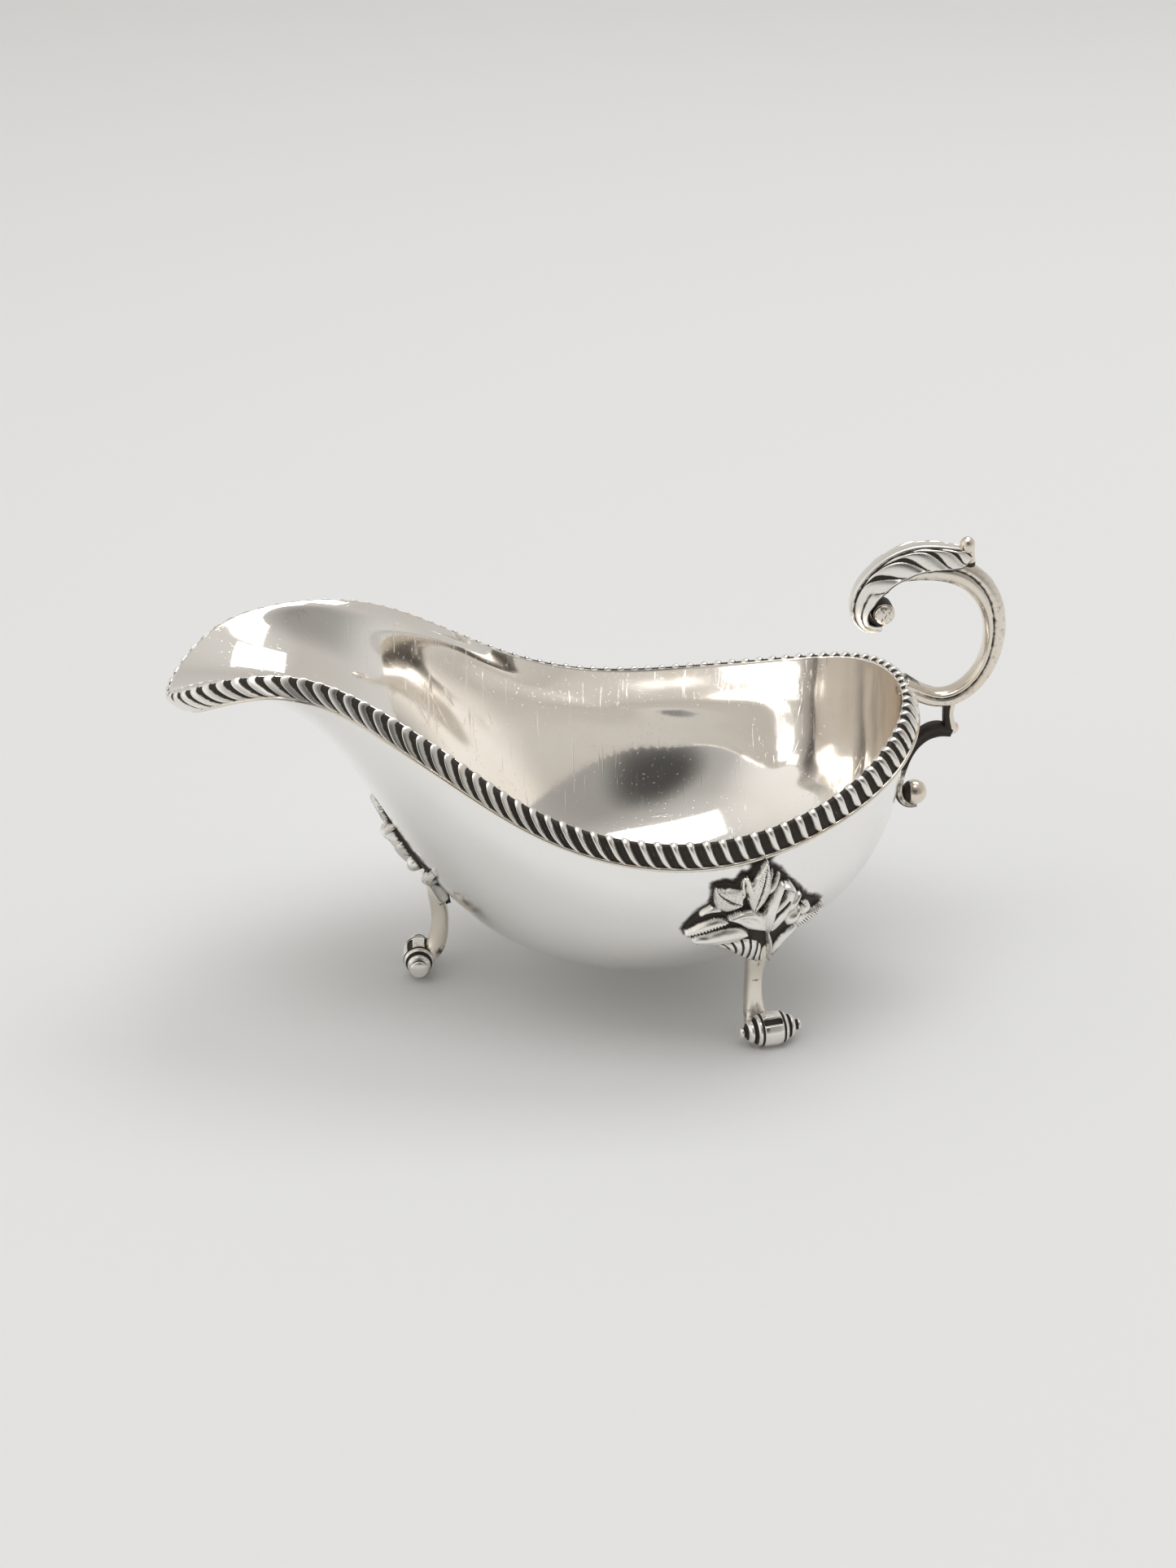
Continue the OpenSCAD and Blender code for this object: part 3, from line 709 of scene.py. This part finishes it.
def lathe(profile, steps, sides, place, shape=None):
    """Surface of revolution about local Y, from (along, radius) points, put in place."""
    prof = np.asarray(profile, float)
    u = np.linspace(0, 1, steps)
    c = open_curve(prof, u)
    c[0], c[-1] = prof[0], prof[-1]
    a = turns(sides)
    along_y, radius = c[:, 0:1] + 0 * a[None], c[:, 1:2] + 0 * a[None]
    if shape is not None:
        along_y, radius = shape(along_y, radius, a[None])
    p = np.stack([radius * np.cos(a)[None], along_y, radius * np.sin(a)[None]], -1)
    p = p @ np.asarray(place)[:3, :3].T + np.asarray(place)[:3, 3]
    verts, faces = skin(p)
    return verts, faces, along_y, a


def at(x, y, z, turn=None):
    return np.array(Matrix.Translation((x, y, z)) @ (turn or Matrix.Identity(4)))


def build_leaf_tip():
    lean = Matrix.Rotation(math.radians(90), 4, "X")
    profile = [(-2.6, 2.0), (-2.0, 2.05), (-1.0, 1.95), (0.2, 1.72), (1.2, 1.66),
               (2.0, 1.72), (2.9, 1.58), (3.5, 1.12), (3.9, 0.5), (4.0, 0.05)]

    def shape(y, r, a):
        # a fold runs down its inner face
        fold = 0.16 * bump(y, 0.2, 1.3) * bump(np.abs(np.mod(a, 2 * np.pi) - np.pi), 0, 0.4)
        return y, r * (1 - fold)

    verts, faces, y, a = lathe(profile, 44, 40, at(81.9, 0, 98.68, lean), shape)
    crease = bump(np.abs(np.mod(a, 2 * np.pi) - np.pi), 0, 0.75)[None]
    dark = np.maximum(smooth((1.7 - y) / 1.2) * crease, 0.8 * smooth((-1.2 - y) / 0.5))
    piece("handle_thumb_tip", ["leaf_tip"], [cast_silver], verts, faces,
          dark.reshape(-1), hollow_gain=3)


def build_button():
    profile = [(-3.4, 0.02), (-3.38, 1.0), (-3.25, 1.7), (-2.9, 2.2), (-2.3, 2.4), (-1.0, 2.4),
               (1.0, 2.4), (2.3, 2.4), (2.9, 2.2), (3.25, 1.7), (3.38, 1.0), (3.4, 0.02)]
    verts, faces, y = lathe(profile, 70, 48, at(64.2, 0, 86.1))[:3]
    verts = verts + (0.06 * ripple(verts, GRAINS) *
                     (np.abs(verts[:, 1]) > 2.6))[:, None] * np.array([0, 1, 0])
    dark = (0.95 * smooth((2.5 - np.abs(y)) / 0.5) + 0.18).reshape(-1)
    piece("handle_curl_button", ["curl_button"], [cast_silver], verts, faces, dark,
          hollow_gain=4)


STRUT = [(80.4, 64.7, 1.7, 2.0), (80.3, 62.3, 1.1, 1.6), (80.4, 59.9, 1.2, 1.6),
         (81.0, 57.9, 1.5, 1.8), (81.2, 56.6, 1.2, 1.6)]
LOWER = [(81.2, 56.7, 1.1, 1.9), (78.6, 57.6, 1.7, 2.1), (75.6, 56.7, 1.6, 2.1),
         (73.2, 54.3, 1.2, 2.1), (71.6, 50.9, 0.9, 2.1), (70.7, 47.3, 0.8, 2.2),
         (69.9, 43.5, 0.9, 2.3), (70.5, 40.5, 1.0, 2.2), (72.6, 38.9, 0.8, 1.9),
         (74.6, 39.0, 0.6, 1.4)]


BAR_SQUARE = 3.2


def hollow_sided(_, a):
    """Section of a bar whose two sides are sunk between rounded edges."""
    r, y = squared(np.cos(a), np.sin(a), BAR_SQUARE)
    return y * (1 - 0.16 * bump(r, 0.0, 0.55)), r


def build_bracket():
    sides = 48
    a = turns(sides)[None]
    r = squared(np.cos(a), np.sin(a), BAR_SQUARE)[0]
    rings = sweep(STRUT, 60, sides, hollow_sided)
    u = np.linspace(0, 1, 60)[:, None]
    dark = 0.95 * smooth((0.25 - r) / 0.3) + 0 * u
    verts, faces = skin(rings)
    piece("handle_strut_bar", ["handle_strut"], [cast_silver], verts, faces,
          dark.reshape(-1), hollow_gain=2)
    rings = sweep(LOWER, 150, sides, hollow_sided)
    u = np.linspace(0, 1, 150)[:, None]
    dark = smooth((0.86 - r) / 0.2) * (0.95 - 0.55 * smooth((u - 0.42) / 0.2))
    dark = np.maximum(dark, 0.9 * smooth((-r - 0.3) / 0.3) * smooth((u - 0.62) / 0.1))
    verts, faces = skin(rings)
    piece("handle_lower_scroll", ["lower_scroll"], [cast_silver], verts, faces,
          dark.reshape(-1), hollow_gain=2)

    def lumpy(radius, centre, name, node, seed, patch):
        profile = [(radius * -math.cos(x), radius * max(math.sin(x), 0.004))
                   for x in np.linspace(0, math.pi, 15)]
        verts, faces = lathe(profile, 44, 44, at(*centre))[:2]
        out = verts - np.array(centre)
        verts = np.array(centre) + out * (radius * 0.985 / np.linalg.norm(out, axis=1))[:, None]
        verts += out * (0.012 * ripple(out * 4 + seed))[:, None]
        dark = patch(out / radius)
        piece(name, [node], [cast_silver], verts, faces, dark, hollow_gain=3)

    lumpy(1.4, (81.7, 0, 57.5), "handle_knuckle", "strut_knuckle", 2.0,
          lambda o: 0.5 * smooth(ripple(o * 9) - 0.4))
    lumpy(2.9, (73.9, 0, 41.7), "handle_drop_ball", "drop_ball", 5.0,
          lambda o: np.maximum(0.9 * smooth((-o[:, 0] - 0.30) / 0.2),
                               0.7 * smooth(ripple(o * 6 + 3) - 0.4)))
    # thin plate behind the lower scroll
    m = chart(1.0, 0.36)
    gs, gt = np.meshgrid(np.linspace(-1, 1, 30), np.linspace(-1, 1, 30), indexing="ij")
    k = np.sqrt(1 - 0.5 * gt**2), np.sqrt(1 - 0.5 * gs**2)
    s, t = 3.5 * gs * k[0], 3.2 * gt * k[1]
    rim = smooth((1.0 - np.hypot(s / 3.5, t / 3.2)) / 0.08)
    p = on_chart(m, s, t, HALF_SHEET - 0.15 + 0.7 * rim)
    piece("handle_pad", ["scroll_pad"], [cast_silver], p.reshape(-1, 3),
          grid_faces(30, 30), (0.8 * (1 - rim)).reshape(-1), recalc=False, hollow_gain=2)


# ---------------------------------------------------------------- foliate mounts

def ribbon(s, t, spine, steps=48):
    """Nearest place on a spine of given points: share of its length, and signed distance."""
    line = open_curve(np.asarray(spine, float), np.linspace(0, 1, steps))
    best = np.full(s.shape, 1e9)
    where = np.zeros(s.shape)
    side = np.zeros(s.shape)
    for k in range(steps - 1):
        (x0, y0), (x1, y1) = line[k], line[k + 1]
        dx, dy = x1 - x0, y1 - y0
        f = np.clip(((s - x0) * dx + (t - y0) * dy) / (dx * dx + dy * dy), 0, 1)
        gx, gy = s - x0 - f * dx, t - y0 - f * dy
        d = np.hypot(gx, gy)
        near = d < best
        best = np.where(near, d, best)
        where = np.where(near, (k + f) / (steps - 1), where)
        side = np.where(near, np.sign(dx * gy - dy * gx), side)
    return where, best * side


def spindle(u, blunt):
    """Half width along a leaf that is pointed at both ends, or blunt at its far end."""
    return np.sin(np.pi * np.clip(u, 0, 1) ** 0.75) ** (0.7 if blunt else 1.0) + (
        0.35 * smooth((u - 0.75) / 0.25) if blunt else 0)


# Leaves of the mount, lowest first: kind, spine, full width, height, starting height.
FOLIAGE = [
    ("dark", [(1.9, -15.9), (1.6, -11.5), (0.0, -7.0), (-3.2, -4.2)], 4.6, 0.5, 0.5),
    ("veined", [(2.2, -15.8), (-0.6, -12.6), (-4.0, -10.4), (-8.8, -9.1)], 5.5, 1.3, 0.7),
    ("smooth", [(-2.6, -6.6), (-6.0, -6.4), (-9.6, -7.1), (-13.6, -7.8)], 4.7, 1.9, 0.8),
    ("beaded", [(-7.6, -2.0), (-10.6, -2.4), (-13.2, -4.0), (-15.6, -5.6)], 3.0, 1.5, 0.9),
    ("smooth", [(-9.4, 1.0), (-11.2, 1.5), (-12.6, 0.9), (-13.4, -0.3)], 1.7, 1.1, 0.6),
    ("grained", [(-5.2, 2.6), (-7.4, 3.6), (-9.4, 5.4), (-11.2, 7.6)], 7.3, 1.6, 0.7),
    ("smooth", [(-3.6, 2.4), (-3.2, 5.0), (-4.3, 7.4), (-4.9, 9.3)], 2.2, 1.7, 0.9),
    ("rim", [(-5.3, 9.3), (-6.0, 8.0), (-4.8, 5.4), (-5.6, 4.2)], 0.9, 1.3, 0.7),
    ("grained", [(-2.6, 0.6), (-2.2, 5.0), (-1.6, 9.2), (-0.9, 13.2)], 5.1, 2.2, 0.8),
    ("rim", [(-1.3, 2.8), (-0.5, 6.4), (0.4, 10.4)], 0.8, 1.4, 0.8),
    ("rim", [(-0.3, 4.8), (1.0, 7.0), (1.9, 9.6)], 1.0, 1.6, 0.8),
    ("smooth", [(4.6, -15.6), (5.9, -12.2), (8.0, -9.4), (10.4, -7.4)], 1.6, 1.4, 0.6),
    ("beaded", [(9.2, -8.2), (11.0, -6.4), (12.8, -5.0), (14.6, -3.9)], 3.8, 1.8, 0.7),
    ("bud", [(8.6, -3.4), (9.6, -2.4), (10.1, -1.2), (8.9, -0.4)], 1.9, 1.8, 0.8),
    ("bud", [(5.4, -4.9), (6.2, -3.9), (7.1, -2.9), (7.9, -1.5)], 3.1, 2.4, 0.8),
    ("bud", [(5.1, -1.2), (5.8, 0.2), (6.4, 1.2), (7.4, 2.7)], 2.4, 2.0, 0.8),
    ("smooth", [(1.4, -6.0), (0.7, -2.6), (1.2, 1.6), (2.6, 7.0)], 3.1, 2.5, 1.1),
    ("smooth", [(2.0, -5.6), (3.1, -2.2), (4.5, 1.0), (5.3, 4.6)], 3.4, 2.2, 1.2),
    ("rim", [(2.4, 6.6), (4.0, 6.9), (5.3, 5.6), (5.4, 3.6)], 1.3, 2.4, 1.2),
    ("cup", [(0.6, -4.9), (-1.8, -2.2), (-4.6, -0.6), (-8.0, -0.4)], 5.1, 2.3, 1.2),
    ("rim", [(3.7, -16.0), (3.7, -12.6), (2.8, -9.2), (1.5, -6.0)], 1.3, 1.5, 1.0)]


def relief(s, t):
    """Height of the mount's foliage over the wall, its oxide and its stippling."""
    edge = border_distance(s, t, OUTLINE)
    ground = smooth((edge + 0.15) / 0.35)
    h = 0.45 * ground
    dark = np.full(s.shape, 0.95)
    grain = 0.1 * np.ones(s.shape)
    wobble = 0.12 * np.sin(2.3 * s + 1.1 * t) + 0.1 * np.sin(3.1 * t - 1.7 * s + 2)
    for kind, spine, width, tall, base in FOLIAGE:
        u, d = ribbon(s, t, spine)
        half = np.maximum(width / 2 * spindle(u, kind in ("bud", "rim", "beaded", "smooth")), 0.05)
        half = half * (1 + 0.12 * wobble)
        r = np.abs(d) / half
        across = np.clip(1 - r**2, 0, 1)
        lift = base + tall * (0.45 + 0.55 * np.sin(np.pi * np.clip(0.15 + 0.7 * u, 0, 1)))
        bright = np.zeros(s.shape)
        rough = np.zeros(s.shape)
        if kind == "smooth":
            z = lift * across**0.45 * (1 - 0.10 * bump(d / half, 0.25, 0.12))
            bright = 0.10 * bump(d / half, 0.25, 0.12)
        elif kind == "grained":
            z = lift * across**0.4 * (1 - 0.22 * bump(d / half, 0.0, 0.10))
            speckle = np.sin(9.1 * s + 3 * t) * np.sin(8.3 * t - 2.2 * s)
            z = z + 0.16 * speckle * (r < 0.75)
            bright = 0.55 * smooth(-speckle - 0.15) + 0.5 * bump(d / half, 0.0, 0.12)
            rough = 0.8 * (r < 0.8)
        elif kind == "veined":
            veins = np.cos(2 * np.pi * (u * 6.5 + 0.9 * d / half))
            z = lift * across**0.4 + 0.16 * veins * (r < 0.85)
            bright = 0.75 * smooth((-veins - 0.1) / 0.7)
            rough = 0.5
        elif kind == "beaded":
            beads = np.cos(2 * np.pi * u * 13)
            rim_at_ = bump(d / half, 0.35, 0.35)
            z = lift * across**0.45 + 0.2 * beads * rim_at_
            bright = 0.7 * smooth(-beads) * rim_at_
            rough = 0.3
        elif kind == "cup":
            z = lift * across**0.5 * (1 - 0.35 * bump(d / half, -0.1, 0.4) * bump(u, 0.55, 0.3))
            bright = 0.2 * bump(d / half, -0.1, 0.3) * bump(u, 0.55, 0.25)
        elif kind == "dark":
            z = lift * across**0.5
            bright = 0.9 + 0 * across
            rough = 0.4
        else:
            z = lift * across**0.5
        shown = (r < 1) & (z > h)
        outline = smooth((r - 0.86) / 0.12)
        h = np.where(shown, z, h)
        dark = np.where(shown, np.maximum(outline * 0.95, bright), dark)
        grain = np.where(shown, rough, grain)
    # a dark slit splits the lily, and the ground keeps a dark lip at the outline
    u, d = ribbon(s, t, [(1.8, -3.0), (2.6, -1.0), (3.8, 0.8), (5.0, 2.6)])
    slit = bump(d, 0, 0.28) * smooth(u / 0.1) * smooth((1.0 - u) / 0.1)
    h = h - 0.9 * slit
    dark = np.maximum(dark, slit)
    return h * ground - 0.8 * (1 - ground), dark, grain, edge


def build_mount(name, node, m, flip):
    step = 0.17
    gs, gt = np.meshgrid(np.arange(-17, 15.8, step), np.arange(-17.6, 14.4, step), indexing="ij")
    h, dark, grain, edge = relief(gs, gt)
    p = on_chart(m, gs, gt, HALF_SHEET + h)
    if flip:
        p = mirrored_y(p)
    n, k = gs.shape
    faces = np.array(grid_faces(n, k))
    flat = edge.reshape(-1)
    faces = faces[(flat[faces].max(1) > -0.45)]
    used = np.unique(faces)
    remap = np.full(n * k, -1)
    remap[used] = np.arange(len(used))
    faces = remap[faces]
    if not flip:
        faces = faces[:, ::-1]
    piece(name, [node], [chased_silver], p.reshape(-1, 3)[used],
          faces.tolist(), dark.reshape(-1)[used], hollow_gain=1.6, recalc=False,
          grain=grain.reshape(-1)[used])


# ---------------------------------------------------------------- feet

# where each foot stands, and the way it faces in degrees
FRONT_FOOT = (-39.0, 0, 180)
PORT_FOOT = (37.2, -37.0, -78)
PORT_SHIFT = 2.4  # how far a rear leg stands to one side of its foot's middle
REAR_LEAN = 2.2  # how much less a rear leg's top is set in from its foot
ROLL_R = 3.85
ROLL_HALF = 7.2
FRONT_END_R, REAR_END_R = 2.1, 1.3
PROFILE_END_R = 1.45  # the end bead's radius in ROLL, which the two above stand in for
LEG_W = 3.7
LEG_SQUARE = 2.6


def standing(foot, flip=False):
    m = Matrix.Translation((foot[0], foot[1], 0)) @ Matrix.Rotation(math.radians(foot[2]), 4, "Z")
    if flip:
        m = Matrix.Scale(-1, 4, (0, 1, 0)) @ m
    return np.array(m)


def build_leg(name, node, place, lean, shift):
    lw = LEG_W / 2
    path = [(3.6 - lean, 25.5, 0.8, 1.5), (3.6 - lean / 2, 22.5, 1.5, 2.5),
            (4.4 - lean / 8, 19.2, 2.0, 2.3), (5.1, 15.8, 2.1, lw), (5.2, 12.0, 2.1, lw),
            (4.6, 8.2, 2.1, lw + 0.2), (3.4, 5.2, 2.1, lw + 0.6), (1.6, 3.9, 2.1, lw + 0.9)]
    steps, sides = 90, 44
    a = turns(sides)[None]
    u = np.linspace(0, 1, steps)[:, None]

    def shape(u, a):
        r, y = squared(np.cos(a), np.sin(a), LEG_SQUARE)
        # two shallow channels run down the outer face from the mount
        lobes = 0.10 * bump(np.abs(y), 0.42, 0.22) * (1 - smooth((u - 0.5) / 0.2))
        crease = 0.07 * bump(y, 0, 0.16) * smooth((u - 0.2) / 0.1) * smooth((0.8 - u) / 0.1)
        return y, r * (1 - (lobes + crease) * (np.abs(r) > 0.6))

    rings = sweep(path, steps, sides, shape)
    rings += (0.06 * ripple(rings * 1.5))[..., None] * np.array([1, 1, 0.2])
    rings = rings * np.array([-1, 1, 1]) + np.array([0, -shift, 0])
    p = rings.reshape(-1, 3)
    top = smooth((0.26 - u) / 0.12)
    foot_end = smooth((u - 0.68) / 0.2)
    mottle = (0.5 + 0.5 * ripple(rings * 2.6 + 11))
    dark = 0.75 * top * mottle + 0.9 * foot_end * smooth(mottle * 1.4)
    mark = bump(u, 0.47, 0.012) * bump(np.abs(np.sin(a)), 0, 0.5) * (np.cos(a) < 0)
    dark = np.maximum(dark, 0.7 * mark)
    p = p @ place[:3, :3].T + place[:3, 3]
    verts, faces = skin(p.reshape(steps, sides, 3))
    piece(name, [node], [cast_silver], verts, faces, dark.reshape(-1),
          hollow_gain=5)


# half profile of a foot: (distance from its middle, radius)
ROLL = np.array([
    (0, 3.85), (1.3, 3.82), (2.15, 3.66), (2.35, 3.35), (2.5, 3.30), (2.65, 3.55),
    (3.2, 3.35), (3.6, 2.9), (3.85, 2.25), (4.0, 2.2), (4.2, 2.6), (4.7, 2.62), (5.2, 2.2),
    (5.55, 1.4), (5.8, 1.0), (5.95, 1.02), (6.2, 1.38), (6.6, 1.45), (6.95, 1.2),
    (7.12, 0.8), (7.2, 0.1)])
# dark rings round a foot: distance from its middle, half width
RING_GROOVES = ((2.45, 0.30), (3.88, 0.44), (5.80, 0.46))


def build_roll(name, node, place, end_r):
    steps, sides = 220, 96
    y = np.linspace(-ROLL_HALF, ROLL_HALF, steps)[:, None]
    k = np.abs(y)
    a = turns(sides)[None]
    body = np.interp(k, ROLL[:, 0], ROLL[:, 1])[:, 0]
    body = np.where(k[:, 0] > 5.9, body * end_r / PROFILE_END_R, body)
    body = np.convolve(np.pad(body, 3, "edge"), np.ones(7) / 7, "valid")[:, None]
    body[0], body[-1] = 0.1, 0.1
    dark = np.zeros((steps, sides))
    for centre, wide in RING_GROOVES:
        dark = np.maximum(dark, smooth((bump(k, centre, wide) - 0.2) / 0.4) + 0 * a)
    # three flutes along the upper half of the middle, open at both ends
    middle = smooth((2.2 - k) / 0.25)
    upper = smooth((np.sin(a) + 0.15) / 0.35)
    flute = np.abs(np.sin(2.6 * (a - np.pi / 2) + 0.5 * np.pi))
    cut = middle * upper * smooth((0.75 - flute) / 0.5)
    r = body - 0.62 * cut
    dark = np.maximum(dark, 0.95 * smooth((cut - 0.25) / 0.4))
    r = np.maximum(r, 0.02)
    x, z = r * np.cos(a), r * np.sin(a) + ROLL_R - 0.2
    z = np.maximum(z, 0.0)
    blotch = 0.5 + 0.5 * ripple(np.stack([x, y + 0 * a, z], -1) * 2.2 + 5)
    dark = np.maximum(dark, 0.35 * blotch * smooth((np.sin(a) - 0.2) / 0.6))
    p = np.stack([x, y + 0 * a, z], -1).reshape(-1, 3) @ place[:3, :3].T + place[:3, 3]
    verts, faces = skin(p.reshape(steps, sides, 3))
    piece(name, [node], [chased_silver], verts, faces, dark.reshape(-1),
          hollow_gain=2.0)


build_bowl()
build_border("gadroons_port", "border_port", False)
build_border("gadroons_starboard", "border_starboard", True)
build_wire()
build_scroll()
build_leaf()
build_leaf_tip()
build_button()
build_bracket()
build_mount("foliage_front", "front_mount", front_chart, False)
build_mount("foliage_port", "port_mount", port_chart, False)
build_mount("foliage_starboard", "starboard_mount", port_chart, True)
FEET = (("front", FRONT_FOOT, False, 0.0, 0.0, FRONT_END_R),
        ("port", PORT_FOOT, False, REAR_LEAN, PORT_SHIFT, REAR_END_R),
        ("starboard", PORT_FOOT, True, REAR_LEAN, PORT_SHIFT, REAR_END_R))
for side, foot, flip, lean, shift, end_r in FEET:
    build_leg(f"leg_{side}", f"{side}_leg", standing(foot, flip), lean, shift)
    build_roll(f"foot_{side}", f"{side}_roll", standing(foot, flip), end_r)

# ---------------------------------------------------------------- floor, light and camera

def stage_material(name, colour, rough):
    m = bpy.data.materials.new(name)
    m.use_nodes = True
    t = m.node_tree
    b = t.nodes["Principled BSDF"]
    n = t.nodes.new("ShaderNodeTexNoise")
    n.inputs["Scale"].default_value = 6.0
    n.inputs["Detail"].default_value = 6.0
    c = t.nodes.new("ShaderNodeTexCoord")
    t.links.new(c.outputs["Object"], n.inputs["Vector"])
    r = t.nodes.new("ShaderNodeMapRange")
    r.inputs[3].default_value, r.inputs[4].default_value = rough - 0.05, rough + 0.05
    t.links.new(n.outputs["Fac"], r.inputs[0])
    t.links.new(r.outputs[0], b.inputs["Roughness"])
    b.inputs["Base Color"].default_value = (*colour, 1)
    return m


FLOOR = 14.0
floor_mesh = bpy.data.meshes.new("floor")
floor_mesh.from_pydata([(-FLOOR, -FLOOR, 0), (FLOOR, -FLOOR, 0), (FLOOR, FLOOR, 0),
                        (-FLOOR, FLOOR, 0)], [], [(0, 1, 2, 3)])
floor = bpy.data.objects.new("floor", floor_mesh)
bpy.context.scene.collection.objects.link(floor)
floor_mesh.materials.append(stage_material("pale_table", (0.82, 0.825, 0.825), 0.7))

WORLD_STRENGTH = 1.04
world = bpy.data.worlds.new("studio")
bpy.context.scene.world = world
world.use_nodes = True
wt = world.node_tree
sky = wt.nodes["Background"]
direction = wt.nodes.new("ShaderNodeTexCoord")
split = wt.nodes.new("ShaderNodeSeparateXYZ")
wt.links.new(direction.outputs["Generated"], split.inputs[0])
ramp = wt.nodes.new("ShaderNodeValToRGB")
wt.links.new(split.outputs["Z"], ramp.inputs[0])
# colour of the room by height: sine of the angle above level, colour
CEILING = ((0.0, (0.66, 0.655, 0.64)), (0.30, (0.56, 0.55, 0.53)),
           (0.70, (0.52, 0.50, 0.475)), (0.95, (0.64, 0.625, 0.60)))
for k, (place, colour) in enumerate(CEILING):
    e = ramp.color_ramp.elements[k] if k < 2 else ramp.color_ramp.elements.new(place)
    e.position = place
    e.color = (*colour, 1)


def world_maths(op, *values):
    n = wt.nodes.new("ShaderNodeMath")
    n.operation = op
    for k, x in enumerate(values):
        if isinstance(x, (int, float)):
            n.inputs[k].default_value = x
        else:
            wt.links.new(x, n.inputs[k])
    return n.outputs[0]


def toward(azimuth, elevation, inner, outer):
    """1 within inner degrees of a direction, easing to 0 at outer degrees. Azimuth 0 is
    behind the object and 90 is the handle's side."""
    az, el = math.radians(azimuth), math.radians(elevation)
    dot = wt.nodes.new("ShaderNodeVectorMath")
    dot.operation = "DOT_PRODUCT"
    wt.links.new(direction.outputs["Generated"], dot.inputs[0])
    dot.inputs[1].default_value = (math.sin(az) * math.cos(el), math.cos(az) * math.cos(el),
                                   math.sin(el))
    r = wt.nodes.new("ShaderNodeMapRange")
    r.interpolation_type = "SMOOTHSTEP"
    wt.links.new(dot.outputs["Value"], r.inputs[0])
    r.inputs[1].default_value = math.cos(math.radians(outer))
    r.inputs[2].default_value = math.cos(math.radians(inner))
    return r.outputs[0]


# the dim room behind the camera, a dark shape in it, and a window at the spout's side:
# azimuth, elevation, inner and outer angle in degrees, and the share of brightness added
LOBES = ((165, 18, 20, 60, -0.40), (178, 28, 4, 27, -0.78), (-98, 22, 12, 45, 0.55))
level = 1.0
for azimuth, elevation, inner, outer, change in LOBES:
    lobe = toward(azimuth, elevation, inner, outer)
    level = world_maths("MULTIPLY", world_maths("MULTIPLY_ADD", lobe, change, 1.0), level)
wt.links.new(ramp.outputs[0], sky.inputs["Color"])
wt.links.new(world_maths("MULTIPLY", level, WORLD_STRENGTH), sky.inputs["Strength"])


def softbox(name, at_, aim, size, power, colour=(1, 1, 1)):
    light = bpy.data.lights.new(name, "AREA")
    light.shape = "RECTANGLE"
    light.size, light.size_y = size
    light.energy = power
    light.color = colour
    o = bpy.data.objects.new(name, light)
    o.location = at_
    o.rotation_mode = "QUATERNION"
    o.rotation_quaternion = (Vector(aim) - Vector(at_)).to_track_quat("-Z", "Y")
    bpy.context.scene.collection.objects.link(o)


softbox("key", (0.66, 0.68, 2.0), (0.66, 0.66, 0), (1.32, 1.04), 11, (0.97, 0.985, 1.0))
softbox("front", (-0.2, -0.34, 2.0), (-0.2, -0.32, 0), (1.6, 0.84), 9.5, (0.98, 0.985, 1.0))
bpy.context.scene.cycles.max_bounces = 16
bpy.context.scene.cycles.glossy_bounces = 14

CAMERA_AT = (-33.5, -470.9, 278.25)
CAMERA_DOWN = math.radians(26.172)
CAMERA_TURN = math.radians(-4.072)
camera = bpy.data.cameras.new("camera")
camera.sensor_fit = "AUTO"
camera.sensor_width = 36
camera.lens = 54.07
camera.clip_start, camera.clip_end = 0.01, 100
cam = bpy.data.objects.new("camera", camera)
cam.matrix_world = (Matrix.Translation(Vector(CAMERA_AT) * MM)
                    @ Matrix.Rotation(CAMERA_TURN, 4, "Z")
                    @ Matrix.Rotation(math.pi / 2 - CAMERA_DOWN, 4, "X"))
bpy.context.scene.collection.objects.link(cam)
bpy.context.scene.camera = cam
bpy.context.scene.view_settings.view_transform = "Standard"
